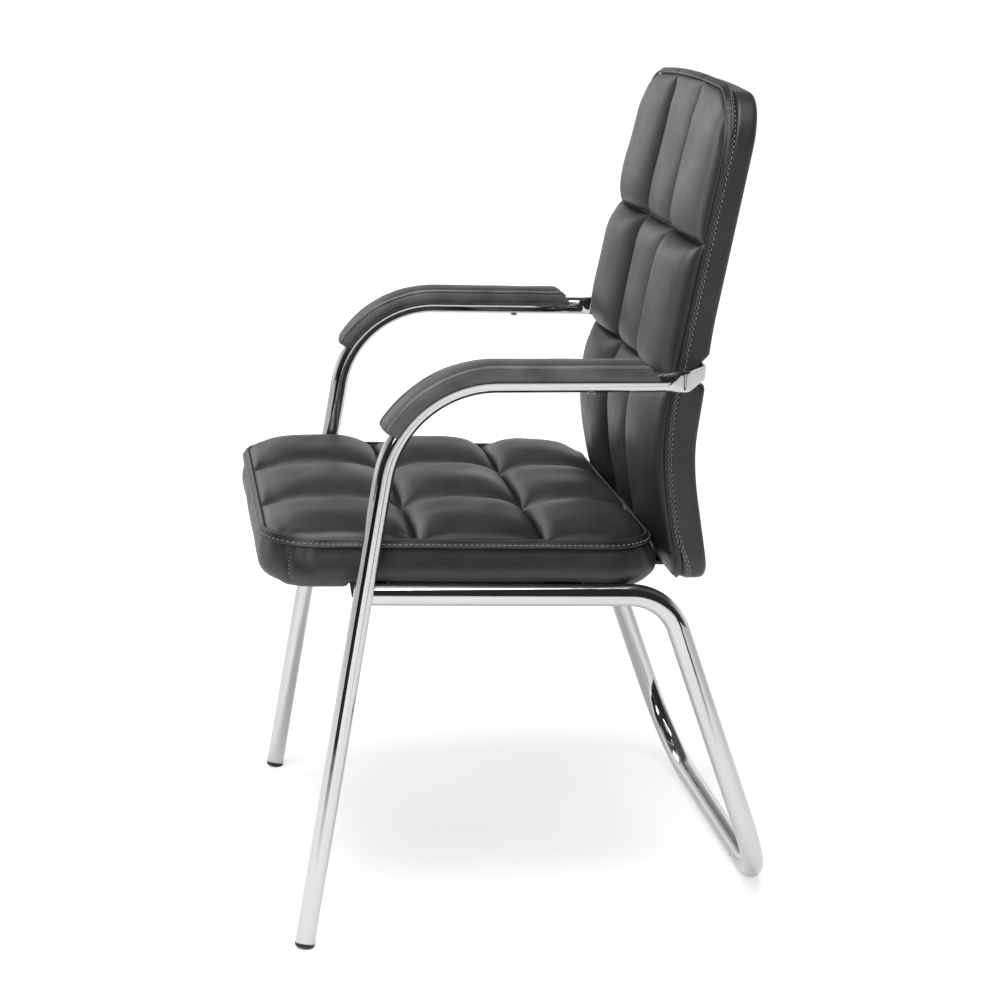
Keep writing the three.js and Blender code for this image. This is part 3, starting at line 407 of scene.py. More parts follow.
def quilted_face(seams, outline, puff_at, crown, crease, thickness, squareness, seed):
    """The 3 x 3 panels: height is the fullness, a broad crown, slack dimples and short puckers square to the seams.
    The inner seams lie deeper than the outer edge by the crease depth. Also gives the distance to the seams and
    the rim's place on the square."""
    s, t = np.meshgrid(PANEL_STATIONS, PANEL_STATIONS)
    x, y = eased_grid(s, t, outline, seams)
    flat = level(x, y)
    full = panel_rise(s, t, *squareness)
    p, q = in_panel(s), in_panel(t)
    near = np.minimum(np.minimum(p, 1 - p) * outline[0] / 3, np.minimum(q, 1 - q) * outline[1] / 3)
    edge = np.minimum(1 - np.abs(s), 1 - np.abs(t)) * outline[0] / 2
    crowned = crown * (1 - s * s) * (1 - t * t)
    sunk = np.minimum(crease, thickness + crowned - 1.2) * smooth_step(edge, 3, 20) * (1 - full)
    slack = uneven(flat, 85, seed) * 1.1 * full + uneven(flat, 34, seed + 1) * 0.35 * full
    ripple = np.sin(2 * math.pi * (x + y) / 15 + 3 * uneven(flat, 60, seed + 2))
    puckers = 0.5 * (ripple * np.maximum(uneven(flat, 70, seed + 3), 0)) * bell(near - 7, 6)
    height = puff_at(s, t) * full + crowned - sunk + (slack + puckers) * np.clip(edge / 8, 0, 1)
    rim = rim_parameters(*to_seams(PANEL_STATIONS, PANEL_STATIONS, seams))
    return level(x, y, height + thickness), near, rim


def quilt_wear_and_painted_light(near, count, rest):
    """A quilt's leather is lightened towards the middle of its panels, partly as rub wear and partly as painted
    highlight, and left dark into the seams as painted shade. The rest of its points get one even value.
    """
    return np.concatenate([np.clip(near / 30, 0, 1).ravel(), np.full(count - near.size, rest)])


def seat_side(s, t, share):
    """A loop round the seat's boxed side at a share of its height: tucked in below, bulged between welt and tuck,
    drawn in at the two front corner seams, puckered under the welt near the corners."""
    height = share * SEAT_THICKNESS
    front = smooth_step(-t, 0.6, 1.0)
    rear_corner = smooth_step(t, 0.5, 1.0) * smooth_step(np.abs(s), 0.5, 0.95)
    tuck = quarter_round(height / SEAT_LOWER_ROUND, SEAT_LOWER_ROUND) * (1 - 0.35 * front)
    bulge = SEAT_BULGE * (1 - 0.4 * front + 0.5 * rear_corner)
    inset = tuck * (1 - 0.3 * rear_corner) - bulge * math.sin(math.pi * share ** 0.8)
    x, y = rounded_outline(s, t, *SEAT_OUTLINE, inset)
    corner = np.exp(-((np.abs(x) - 232) ** 2 + (np.abs(y) - 198) ** 2) / 45 ** 2)
    fold = np.sin(np.arctan2(y, x) * 74 + 3 * uneven(level(x, y), 40, 5))
    seam = bell(np.arctan2(-y, np.abs(x)) - CORNER_SEAM_ANGLE, 0.007)
    slack = uneven(level(x, y, height), 70, 6) * 0.7 * math.sin(math.pi * share)
    push = corner * fold * smooth_step(share, 0.35, 0.95) + slack - 1.5 * seam * smooth_step(share, 0.1, 0.2)
    return level(x * (1 + push * 2 / SEAT_WIDTH), y * (1 + push * 2 / SEAT_DEPTH), height)


def seat_puff_at(s, t):
    """The seat's panels are a little fuller at the front."""
    return SEAT_PUFF + SEAT_FRONT_PUFF * smooth_step(-s, 0.3, 0.8) * (1 - smooth_step(t, 0.2, 0.8))


def make_seat_quilt(material):
    """Seat cushion: quilted top, boxed side that bulges and turns under, and a recess for the board below. Beside
    the board it sags between the bars and is lifted off them."""
    face, near, (s, t) = quilted_face(SEAT_SEAMS, SEAT_OUTLINE, seat_puff_at, SEAT_CROWN, SEAT_CREASE,
                                      SEAT_THICKNESS, SEAT_SQUARENESS, 11)
    shares = np.concatenate([np.linspace(0.985, 0.4, 16), np.linspace(0.36, 0, 14)])
    loops = [seat_side(s, t, share) for share in shares]
    recess, pocket = BOARD_INSET - GAP, SEAT_BOARD_TOP + GAP - SEAT_UNDERSIDE
    for inset, height in [(20, 0), (recess - 0.2, 0), (recess, 0.6), (recess, pocket), (40, pocket)]:
        loops.append(outline_at(s, t, SEAT_OUTLINE, inset, height))
    vertices, faces = boxed_form(face, loops, (0, 0, pocket))
    vertices = vertices + (0, SEAT_CENTRE_Y, SEAT_UNDERSIDE)
    half_bar, board_x = BAR_WIDTH / 2, SEAT_WIDTH / 2 - BOARD_INSET
    over_bar = sum(1 - smooth_step(np.abs(vertices[:, 1] - y), half_bar + 0.6, half_bar + 3) for y in SEAT_BARS_Y)
    aside = np.abs(vertices[:, 0])
    lowest = 1 - smooth_step(vertices[:, 2], SEAT_UNDERSIDE, SEAT_UNDERSIDE + 12)
    sag = (SEAT_SAG + SEAT_SAG_SPREAD * uneven(vertices * (1, 1, 0), 60, 8)) * lowest
    vertices[:, 2] -= sag * smooth_step(aside, board_x + 1, board_x + 8) * (1 - over_bar)
    lift = over_bar * np.maximum(BAR_TOP + 2 * GAP - vertices[:, 2], 0)
    vertices[:, 2] += np.where(aside > board_x - 1, lift, 0)
    # The leather is painted lighter towards the panel middles, partly as wear and partly as painted highlight, and
    # darker at the seams as painted shade.
    return add_piece("seat_quilt", vertices, faces, material, ["seat_cushion"],
                     wear_and_painted_light=quilt_wear_and_painted_light(near, len(vertices), 0.6))


def back_puff_at(s, t):
    """Each row of the back has its own fullness. The upper row thins towards the top, the lower one towards its
    lower edge, and the middle column is slacker."""
    row = np.clip(np.floor((t + 1) / 2 * 3).astype(int), 0, 2)
    top = 1 - 0.2 * smooth_step(t, 0.45, 0.9) - 0.16 * smooth_step(t, 0.82, 1.0)
    foot = 1 - 0.32 * (1 - smooth_step(t, -1.0, -0.82))
    return np.array(BACK_PUFFS)[row] * (top * foot) * (1 - 0.36 * (np.abs(s) < 1 / 3))


def make_back_quilt(material):
    """Back cushion: quilted front, a thin rounded side and a rear that follows the back line."""
    face, near, (s, t) = quilted_face(BACK_SEAMS, BACK_OUTLINE, back_puff_at, BACK_CROWN, BACK_CREASE,
                                      BACK_EDGE, BACK_SQUARENESS, 31)
    loops = []
    for share in np.linspace(0.9, 0, 7):
        inset = quarter_round((1 - share) * 2, BACK_EDGE_ROUND)
        loops.append(outline_at(s, t, BACK_OUTLINE, inset, share * BACK_EDGE))
    loops += [outline_at(s * reach, t * reach, BACK_OUTLINE) for reach in np.linspace(0.96, 0.04, 24)]
    vertices, faces = boxed_form(face, loops, (0, 0, 0))
    # The leather is painted lighter towards the panel middles, partly as wear and partly as painted highlight, and
    # darker at the seams as painted shade.
    return add_piece("back_quilt", stood_up(vertices, -LAYER_GAP, -1), faces, material, ["back_cushion"],
                     wear_and_painted_light=quilt_wear_and_painted_light(near, len(vertices), 0.5))


def make_back_shell(material):
    """Rear of the back: padded, with a rounded rim, pressed in under the arm tongues, recessed for the board."""
    stations = np.linspace(-1, 1, 121)
    s, t = np.meshgrid(stations, stations)
    x, y = rounded_outline(s, t, *SHELL_OUTLINE, SHELL_ROUND)
    z = back_height(-x, y)
    middle = (1 - s ** 4) * (1 - t ** 4)
    depth = shell_depth(z) - 2.5 * (1 - smooth_step(z, 540, 610))
    depth = depth + 1.2 * middle + uneven(level(x, y), 110, 41) * 0.5 * middle
    half_width = TONGUE_WIDTH / 2
    press = 1 - smooth_step(np.abs(z - TONGUE_HEIGHT), half_width, half_width + TONGUE_PRESS_REACH)
    press = press * smooth_step(np.abs(x), TONGUE_END_X - 12, TONGUE_END_X - 1)
    depth = depth - press * (depth - (shell_depth(TONGUE_HEIGHT) - TONGUE_SINK - 2 * GAP))
    rim_depth = depth.ravel()[border(np.arange(x.size).reshape(x.shape))]
    s, t = rim_parameters(stations, stations)
    loops = []
    for share in [0.9, 0.78, 0.62, 0.45, 0.28, 0.12, 0]:
        inset = quarter_round(1 - share, SHELL_ROUND)
        loops.append(outline_at(s, t, SHELL_OUTLINE, inset, rim_depth - SHELL_ROUND * (1 - share)))
    for share in [0.75, 0.5, 0.25, 0.05]:
        loops.append(outline_at(s, t, SHELL_OUTLINE, 0.0, (rim_depth - SHELL_ROUND) * share))
    recess, pocket = BACK_BOARD_INSET - GAP, BACK_BOARD_THICKNESS + 2 * GAP
    for inset, height in [(0.8, 0), (12, 0), (recess, 0), (recess, pocket)]:
        loops.append(outline_at(s, t, SHELL_OUTLINE, inset, height))
    for reach in np.linspace(0.86, 0.05, 20):
        loops.append(outline_at(s * reach, t * reach, SHELL_OUTLINE, 0.0, pocket))
    vertices, faces = boxed_form(level(x, y, depth), loops, (0, 0, pocket))
    return add_piece("back_shell", stood_up(vertices, GAP, 1), faces, material, ["back_rear_shell"],
                     wear_and_painted_light=np.full(len(vertices), 0.6))


# ---- Welts and stitching along the outlines

def outline_loop(outline, count):
    """Even stations round an outline, with the outward direction at each."""
    line = np.stack(rounded_outline(*FINE_RIM, *outline), -1)
    closed = np.vstack([line, line[:1]])
    length = run_length(closed)
    points = resampled(closed, length, np.linspace(0, length[-1], count, endpoint=False))
    along = loop_directions(points)
    return points, np.stack([along[:, 1], -along[:, 0]], -1)


def seat_place(points, outward, away, rise):
    """A point beside the seat's outline: moved outwards by away and up by rise from the welt line."""
    moved = points + outward * away[..., None]
    return np.stack([moved[..., 0], moved[..., 1] + SEAT_CENTRE_Y, SEAT_WELT_HEIGHT + rise], -1)


def back_place(points, outward, away, rise):
    """A point beside the back's outline: moved outwards by away and to the front by rise from the back line. Along
    the top edge it stands a little proud."""
    z = back_height(points[..., 0], points[..., 1])
    moved = points + outward * away[..., None]
    proud = 1.8 * smooth_step(points[..., 1], BACK_HEIGHT / 2 - 30, BACK_HEIGHT / 2 - 6)
    out = z + moved[..., 1] - points[..., 1] + proud * outward[..., 1]
    return np.stack([moved[..., 0], back_line(z) - rise - proud, out + keel(z, -rise)], -1)


def make_welt(name, outline, place, centre, widths, joins, replaces):
    """A folded leather strip round an outline, of one half width along the sides and another along the top edge.
    Its section is a flat oval, fuller along the inner rolled edge and turned down by 50 degrees, with a shallow
    groove where the stitches run. It is pinched at each join."""
    count, around = 1400, 28
    points, outward = outline_loop(outline, count)
    angle = full_turn(around)
    share = signed_power(np.cos(angle), 0.8)
    roll = 1 + 0.9 * (1 - smooth_step(share, -0.75, -0.1))
    groove = 1 - 0.35 * bell(share - 0.45, 0.15)
    nearest = np.min([np.linalg.norm(points - join, axis=1) for join in joins], axis=0)[:, None]
    pinch = 1 - 0.5 * bell(nearest, 1.3) + 0.3 * bell(nearest - 5, 3)
    top = smooth_step(points[:, 1:], outline[1] / 2 - 52, outline[1] / 2 - 26)
    along = share * (widths[0] + (widths[1] - widths[0]) * top) * (1 - 0.06 * bell(nearest, 1.3))
    across = signed_power(np.sin(angle), 0.7) * WELT_THICKNESS / 2 * roll * groove * pinch
    wave = uneven(level(*points.T), 70, 51)[:, None]
    tilt = math.radians(-50) + 0.08 * wave
    away = centre[0] + along * np.cos(tilt) - across * np.sin(tilt)
    rise = centre[1] + along * np.sin(tilt) + across * np.cos(tilt) + 0.35 * wave
    full = (count, around, 2)
    rings = place(np.broadcast_to(points[:, None], full), np.broadcast_to(outward[:, None], full), away, rise)
    numbers = np.arange(count * around).reshape(count, around)
    onward = np.roll(numbers, -1, 0)
    faces = np.stack([numbers, onward, np.roll(onward, -1, 1), np.roll(numbers, -1, 1)], -1).reshape(-1, 4)
    # Painted highlight: the leather is lighter along both edges of the strip, and it is left darker at each pinched
    # join as painted shade.
    wear_and_painted_light = smooth_step(np.abs(share), 0.6, 1) * (1 - bell(nearest, 2))
    return add_piece(name, rings.reshape(-1, 3), [faces], welt_leather_with_painted_highlight, replaces, wear_and_painted_light=wear_and_painted_light)


def stitch_row(name, middles, directions, normals, length, radius):
    """Short threads: each a slim closed spindle of six sides, sunk at both ends, lying along its direction."""
    ends = np.array([-0.5, -0.38, -0.15, 0.15, 0.38, 0.5]) * length
    thick = np.array([0.35, 0.85, 1.0, 1.0, 0.85, 0.35]) * radius
    sink = -np.array([1.0, 0.35, 0.0, 0.0, 0.35, 1.0]) * radius
    angle = full_turn(6)[:, None]
    side = unit(np.cross(normals, directions))
    centre = middles[:, None] + directions[:, None] * ends[:, None] + normals[:, None] * sink[:, None]
    ring = side[:, None, None] * np.cos(angle) + normals[:, None, None] * np.sin(angle)
    vertices = centre[:, :, None] + ring * thick[:, None, None]
    numbers = np.arange(len(middles) * 36).reshape(-1, 6, 6)
    lower, upper = numbers[:, :-1], numbers[:, 1:]
    quads = np.stack([lower, upper, np.roll(upper, -1, 2), np.roll(lower, -1, 2)], -1).reshape(-1, 4)
    caps = np.concatenate([numbers[:, 0, :], numbers[:, -1, ::-1]])
    return add_piece(name, vertices.reshape(-1, 3), [quads[:, ::-1], caps[:, ::-1]], thread)


def make_seat_stitches():
    """One row of stitches on the outer face of the seat welt."""
    points, outward = outline_loop(SEAT_OUTLINE, 290)
    zero = np.zeros(len(points))
    middles = seat_place(points, outward, zero + 5.35, zero + 1.6)
    normals = unit(level(*outward.T, 0.9))
    return stitch_row("seat_welt_stitches", middles, loop_directions(middles), normals, 3.9, 0.42)


def make_corner_stitches():
    """A row of stitches down the seam at each front corner of the seat's side."""
    rows = []
    for share in np.linspace(0.93, 0.22, 9):
        loop = seat_side(*FINE_RIM, share)
        for side in (1, -1):
            turn = np.arctan2(-loop[:, 1], side * loop[:, 0])
            rows.append(loop[np.argmin(np.abs(turn - CORNER_SEAM_ANGLE))])
    middles = np.array(rows) + (0, SEAT_CENTRE_Y, SEAT_UNDERSIDE)
    normals = unit(middles * (1, 1, 0) - (0, SEAT_CENTRE_Y, 0))
    directions = np.broadcast_to(UP, middles.shape)
    return stitch_row("seat_corner_stitches", middles + normals * 0.3, directions, normals, 2.4, 0.4)


def make_back_stitches():
    """Two rows of stitches with a zigzag between them on the side of the back, just behind its welt."""
    points, outward = outline_loop(BACK_OUTLINE, 320)
    zero = np.zeros(len(points))
    drop = 9 * (1 - smooth_step(back_height(*points.T), 400, 455))
    normals = unit(np.stack([outward[:, 0], zero, outward[:, 1]], -1))
    first, second = (back_place(points, outward, zero + 0.3, offset - drop) for offset in (3.6, 0.0))
    directions = np.concatenate([loop_directions(first), loop_directions(second)])
    stitch_row("back_seam_stitches", np.concatenate([first, second]), directions,
               np.concatenate([normals, normals]), 3.7, 0.5)
    onward = np.roll(second, -1, 0)
    middles, directions = (first + onward) / 2, unit(onward - first)
    return stitch_row("back_seam_zigzag", middles, directions, normals, 3.2, 0.32)


# ---- Chrome tubes

def arm_at(side, y):
    """A point on the straight run of an arm."""
    corner, crease = np.array(ARM_CORNER), np.array(ARM_CREASE)
    share = (y - corner[1]) / (crease[1] - corner[1])
    return (corner + (crease - corner) * share) * (side, 1, 1)


def arm_bend_path(side, steps, end_y):
    """Leg, big bend and straight arm up to end_y. The leg starts on top of its foot plug."""
    foot = turned_about_x([side * FOOT_X, FOOT_Y, 0.0], -TILT)
    corner = arm_at(side, ARM_CORNER[1])
    start = foot + unit(corner - foot) * (PLUG_HEIGHT + GAP)
    return bent_path([start, corner, arm_at(side, end_y)], [ARM_BEND_RADIUS], steps)


def make_arm_tube(side, label, material):
    """Leg and arm in one round tube, pressed flat at its rear end into a tongue that turns in behind the back."""
    tongue_y = back_line(TONGUE_HEIGHT) + shell_depth(TONGUE_HEIGHT) - TONGUE_SINK + TONGUE_THICKNESS / 2
    knee, end = (np.array([side * x, tongue_y, TONGUE_HEIGHT]) for x in (TONGUE_KNEE_X, TONGUE_END_X))
    front = arm_bend_path(side, 48, ARM_STRAIGHT_END_Y)
    rear = bent_path([arm_at(side, ARM_STRAIGHT_END_Y), arm_at(side, ARM_CREASE[1]), knee, end], [8, 14], 12)
    tip = np.linspace(1, 0, 9)[:, None] ** 2 * (TONGUE_WIDTH / 2)
    points = np.vstack([front[0][:-1], rear[0][:-1], end + tip * (side, 0, 0)])
    tangents = np.vstack([front[1][:-1], rear[1][:-1], np.repeat(rear[1][-1:], 9, 0)])
    points, tangents = subdivided(points, tangents, 6)
    flat = smooth_step(points[:, 1], ARM_STRAIGHT_END_Y + 1, ARM_CREASE[1] - 7)
    narrow = smooth_step(-np.abs(points[:, 0]), -ARM_CREASE[0], -TONGUE_KNEE_X)
    width = TONGUE_ROOT_WIDTH + (TONGUE_WIDTH - TONGUE_ROOT_WIDTH) * narrow
    from_end = np.clip(np.linalg.norm(points - end, axis=1) / (TONGUE_WIDTH / 2), 0, 1)
    rounded = np.maximum(np.sqrt(1 - (1 - from_end) ** 2), 0.12)
    wide = ARM_TUBE + (TONGUE_THICKNESS / 2 - ARM_TUBE) * flat
    tall = (ARM_TUBE + (width / 2 - ARM_TUBE) * flat) * rounded
    power = (1 - 0.55 * flat)[:, None, None]
    section = signed_power(circle(full_turn(56)), power) * np.stack([wide, tall], -1)[:, None]
    vertices, faces = capped_tube(points, tangents, section)
    return add_piece(f"{label}_arm_tube", vertices, faces, material, [f"{label}_arm_leg"])


def make_rear_frame(material):
    """Seat rails, rear legs and floor bar: one round tube with four bends. Its two drain holes are shallow sinks in
    the front of the floor bar, in a finer stretch of the mesh."""
    half = [to_floor([0, RAIL_FRONT_Y, RAIL_HEIGHT]), to_floor([0, RAIL_CORNER_Y, RAIL_HEIGHT]),
            np.array([0, FLOOR_BAR_Y + SHIFT, RAIL_TUBE])]
    corners = [p + (RAIL_X, 0, 0) for p in half] + [p - (RAIL_X, 0, 0) for p in half[::-1]]
    radii = [RAIL_BEND_RADIUS, FLOOR_BEND_RADIUS, FLOOR_BEND_RADIUS, RAIL_BEND_RADIUS]
    points, tangents = subdivided(*bent_path(corners, radii, 36), 10)
    length = run_length(points)
    near = [np.argmin(np.linalg.norm(points - half[2] - (x, 0, 0), axis=1)) for x in (-DRAIN_HOLE_X, DRAIN_HOLE_X)]
    at = np.unique(np.concatenate([length] + [length[k] + np.linspace(-9, 9, 46) for k in near]))
    points, tangents = resampled(points, length, at), unit(resampled(tangents, length, at))
    sides = carried_sides(tangents, np.array([-1.0, 0, 0]))
    middle = np.argmin(np.linalg.norm(points - half[2], axis=1))
    facing = math.atan2(-np.cross(tangents[middle], sides[middle])[1], -sides[middle][1])
    angle = facing + np.concatenate([np.linspace(-0.35, 0.35, 26), np.linspace(0.45, 2 * math.pi - 0.45, 48)])
    vertices, faces = capped_tube(points, tangents, circle(angle) * RAIL_TUBE, sides)
    front = half[2][1] - RAIL_TUBE
    for x in (-DRAIN_HOLE_X, DRAIN_HOLE_X):
        away = np.hypot(vertices[:, 0] - x, vertices[:, 2] - RAIL_TUBE) - DRAIN_HOLE
        sink = DRAIN_HOLE_DEPTH * (1 - smooth_step(away, -DRAIN_HOLE_LIP, DRAIN_HOLE_LIP))
        sink = sink - DRAIN_HOLE_LIP * bell(away - 0.6, 0.5)
        vertices[:, 1] += sink * (vertices[:, 1] < front + RAIL_TUBE / 2)
    return add_piece("rear_frame_tube", vertices, faces, material, ["rear_frame"], on_floor=True)


def make_foot_cap(side, label, material):
    """Foot plug: a profile of radii and heights turned about the leg's line, flat where it stands on the floor."""
    profile = [(4, 0.15), (7.5, 0.5), (9.8, 1.1), (10.8, 2.0), (11.1, 3.0), (11.1, 4.9), (10.8, 5.3), (9.1, 5.4),
               (9.1, 12)]
    foot = np.array([side * FOOT_X, FOOT_Y + SHIFT, 0.0])
    axis = unit(to_floor(arm_at(side, ARM_CORNER[1])) - foot)
    across = unit(np.cross([1.0, 0, 0], axis))
    radius, height = np.array(profile).T[..., None, None]
    around = circle(full_turn(40))
    ring = across * around[:, :1] + np.cross(axis, across) * around[:, 1:]
    rings = foot + axis * height + ring * radius
    vertices = np.vstack([rings.reshape(-1, 3), foot, foot + axis * profile[-1][1]])
    vertices[:, 2] = np.maximum(vertices[:, 2], 0)
    numbers = np.arange(len(vertices) - 2).reshape(len(profile), -1)
    faces = [loop_faces(upper, lower) for lower, upper in zip(numbers, numbers[1:])]
    faces += [fan_faces(numbers[0], numbers.size), fan_faces(numbers[-1][::-1], numbers.size + 1)]
    return add_piece(f"{label}_foot_cap", vertices, faces, material, [f"{label}_foot_plug"],
                     on_floor=True)


# ---- Arm pads

def pad_profile(count):
    """Outer profile of a pad from its right skirt over the top to the left skirt: bulged sides, a piping bead at
    each shoulder and a crowned top. Points are evenly spaced along the line."""
    half = PAD_WIDTH / 2
    side_v = np.linspace(PAD_SKIRT, PAD_SHOULDER, 14)
    bulge = 1.3 * np.sin(math.pi * (side_v - PAD_SKIRT) / (PAD_SHOULDER - PAD_SKIRT))
    tuck = 2.2 * (1 - smooth_step(side_v, PAD_SKIRT, PAD_SKIRT + 3.5))
    side = np.stack([half - 0.9 + bulge - tuck, side_v], -1)
    bead = circle(np.radians(np.linspace(-80, 165, 18))) * (2.2, 2.1) + (half - 2.3, PAD_SHOULDER + 2.0)
    top_u = np.linspace(half - 5.2, 0, 20)
    top = np.stack([top_u, PAD_TOP - 3.4 + 4.0 * (1 - (top_u / (half - 4.2)) ** 2) ** 0.6], -1)
    right = np.vstack([[ARM_TUBE + 1.2, PAD_SKIRT], side, bead, top])
    whole = np.vstack([right, right[-2::-1] * (-1, 1)])
    length = run_length(whole)
    return resampled(whole, length, np.linspace(0, length[-1], count))


def make_arm_pad(side, label, material):
    """Upholstered pad that follows the arm: a section with piping, grooved for the tube, rounded off at both ends
    and cut back aslant at the rear. Fine wrinkles and broad waves lift and lower its skin."""
    count = 120
    outer = pad_profile(count)
    start = math.asin(PAD_SKIRT / (ARM_TUBE + GAP))
    groove = circle(np.linspace(start, math.pi - start, count)) * (ARM_TUBE + GAP)
    points, tangents = arm_bend_path(side, 44, PAD_REAR_Y)
    points, tangents = subdivided(points[13:], tangents[13:], 3)
    along = run_length(points)
    total = along[-1]
    near_end = np.clip(np.minimum(along, total - along) / PAD_END_ROUND, 0, 1)
    scale = 0.84 + 0.16 * np.sqrt(1 - (1 - near_end) ** 2)
    middle = np.array([0, 10.0])
    rings_outer = middle + (outer - middle) * scale[:, None, None]
    rings_outer[..., 1] = np.maximum(rings_outer[..., 1], PAD_SKIRT)
    sections = np.concatenate([rings_outer, np.broadcast_to(groove[::-1], (len(points),) + groove.shape)], 1)
    across, height = np.abs(sections[..., 0]), sections[..., 1]
    vertices, numbers, faces = swept(points, tangents, sections)
    for ring, turn in ((numbers[0], -1), (numbers[-1], 1)):
        out_numbers, in_numbers = ring[:count], ring[count:][::-1]
        cap = np.stack([out_numbers[:-1], out_numbers[1:], in_numbers[1:], in_numbers[:-1]], -1)
        faces.append(cap[:, ::turn])
    grown = vertices.reshape(len(points), -1, 3)
    slant = smooth_step(along, total - PAD_CHAMFER_LENGTH, total)[:, None] * PAD_CHAMFER
    grown[..., 1] -= slant * np.clip((height - PAD_SKIRT) / 20, 0, 1)
    wrinkle = uneven(grown, 13, 71) * 0.45 * np.maximum(uneven(grown, 90, 73), 0) + uneven(grown, 60, 72) * 0.6
    grown[..., 2] += wrinkle * (np.arange(sections.shape[1]) < count) * smooth_step(height, 3, 9) * 0.8
    # Painted highlight: the leather is lighter on the piping beads and along the outer flanks.
    bead = bell(np.hypot(across - PAD_WIDTH / 2 + 2, height - PAD_SHOULDER - 2) - 1, 1.8)
    flank = smooth_step(across, PAD_WIDTH / 2 - 3, PAD_WIDTH / 2 - 1.5)
    piece = add_piece(f"{label}_arm_pad_cover", grown.reshape(-1, 3), faces, material,
                      [f"{label}_arm_pad"], wear_and_painted_light=np.clip(0.28 + 0.3 * flank + 0.6 * bead, 0, 1))
    return piece


# ---- Finishes

class Nodes:
    """The nodes of a material or of the world. Every value may be a number, a colour or another node's socket."""

    def __init__(self, owner):
        owner.use_nodes = True
        self.tree = owner.node_tree

    def put(self, value, socket):
        if isinstance(value, bpy.types.NodeSocket):
            self.tree.links.new(value, socket)
        else:
            socket.default_value = value

    def add(self, kind, output, **inputs):
        """Adds a node, fills its inputs and gives one of its outputs."""
        node = self.tree.nodes.new("ShaderNode" + kind)
        for label, value in inputs.items():
            self.put(value, node.inputs[label])
        return node.outputs[output]

    def pattern(self, scale=(1, 1, 1)):
        return self.add("Mapping", "Vector", Vector=self.add("TexCoord", "Object"), Scale=scale)

    def noise(self, vector, scale, detail=3.0, roughness=0.5):
        return self.add("TexNoise", "Fac", Vector=vector, Scale=scale, Detail=detail, Roughness=roughness)

    def cells(self, vector, scale, randomness=1.0):
        return self.add("TexVoronoi", "Distance", Vector=vector, Scale=scale, Randomness=randomness)

    def ranged(self, value, low, high, to_low, to_high):
        limits = {"From Min": low, "From Max": high, "To Min": to_low, "To Max": to_high}
        return self.add("MapRange", "Result", Value=value, **limits)

    def blended(self, factor, first, second):
        node = self.tree.nodes.new("ShaderNodeMix")
        node.data_type = "RGBA"
        for number, value in ((0, factor), (6, (*first, 1)), (7, (*second, 1))):
            self.put(value, node.inputs[number])
        return node.outputs[2]

    def combined(self, operation, first, second):
        node = self.tree.nodes.new("ShaderNodeMath")
        node.operation = operation
        self.put(first, node.inputs[0])
        self.put(second, node.inputs[1])
        return node.outputs[0]

    def sum(self, first, second):
        return self.combined("ADD", first, second)

    def product(self, first, second):
        return self.combined("MULTIPLY", first, second)

    def rest(self, value):
        """What is left of 1."""
        return self.combined("SUBTRACT", 1.0, value)

    def split(self, vector):
        """The three coordinates of a vector."""
        return self.add("SeparateXYZ", 0, Vector=vector).node.outputs

    def seen_rays(self):
        """1 for rays from the camera, in a reflection or through glass, and 0 for the rays that light the object.
        Also 1 for reflections alone."""
        rays = self.tree.nodes.new("ShaderNodeLightPath").outputs
        seen = self.combined("MAXIMUM", rays["Is Camera Ray"], rays["Is Glossy Ray"])
        return self.combined("MAXIMUM", seen, rays["Is Transmission Ray"]), rays["Is Glossy Ray"]


class Finish(Nodes):
    """A principled material."""

    def __init__(self, name, metallic=0.0):
        self.material = bpy.data.materials.new(name)
        super().__init__(self.material)
        self.surface = self.tree.nodes["Principled BSDF"].inputs
        self.put(metallic, self.surface["Metallic"])

    def colour(self, factor, dark, light):
        self.put(self.blended(factor, dark, light), self.surface["Base Color"])

    def sheen(self, cloud, low, high, cloud_low=0.3, cloud_high=0.7):
        self.put(self.ranged(cloud, cloud_low, cloud_high, low, high), self.surface["Roughness"])

    def bump(self, height, strength, distance, **under):
        """Bumps over the ones whose Normal is given, if any."""
        normal = self.add("Bump", "Normal", Height=height, Strength=strength, Distance=distance, **under)
        self.put(normal, self.surface["Normal"])
        return normal


def leather_finish(name, dark, light, rough_low, rough_high, grain=0.22):
    """Soft black leather: pebbled grain from cells and fine noise, cloudy roughness. Its colour is lighter in
    random patches where the mesh's lightening values are high: partly rub wear, partly painted highlight, and
    painted shade where they are low."""
    finish = Finish(name)
    vector = finish.pattern()
    pores = finish.bump(finish.cells(vector, 780), grain, 0.0004)
    pores = finish.bump(finish.noise(vector, 1500, 2), grain * 0.6, 0.0003, Normal=pores)
    finish.bump(finish.noise(vector, 55, 4, 0.6), 0.10, 0.0016, Normal=pores)
    finish.sheen(finish.noise(vector, 14, 4), rough_low, rough_high)
    # The mesh's per-point values lighten the leather: rub wear together with painted highlight on crests, and
    # painted shade in the seams.
    wear_and_painted_light_node = finish.tree.nodes.new("ShaderNodeAttribute")
    wear_and_painted_light_node.attribute_name = "wear_and_painted_light"
    patchy = finish.ranged(finish.noise(vector, 30, 5), 0.3, 0.75, 0.35, 1.0)
    finish.colour(finish.product(wear_and_painted_light_node.outputs["Fac"], patchy), dark, light)
    finish.put(0.6, finish.surface["Specular IOR Level"])
    return finish.material


def chrome_finish():
    """Bright chrome plate: slight waviness from the bending, faint smears in the polish."""
    finish = Finish("chrome_plate", 1.0)
    vector = finish.pattern()
    finish.sheen(finish.noise(finish.pattern((1, 1, 3)), 22, 5, 0.6), 0.035, 0.10, 0.35, 0.75)
    finish.colour(finish.noise(vector, 9, 3), (0.60, 0.605, 0.615), (0.68, 0.685, 0.695))
    finish.bump(finish.noise(vector, 38, 2), 0.035, 0.004)
    return finish.material


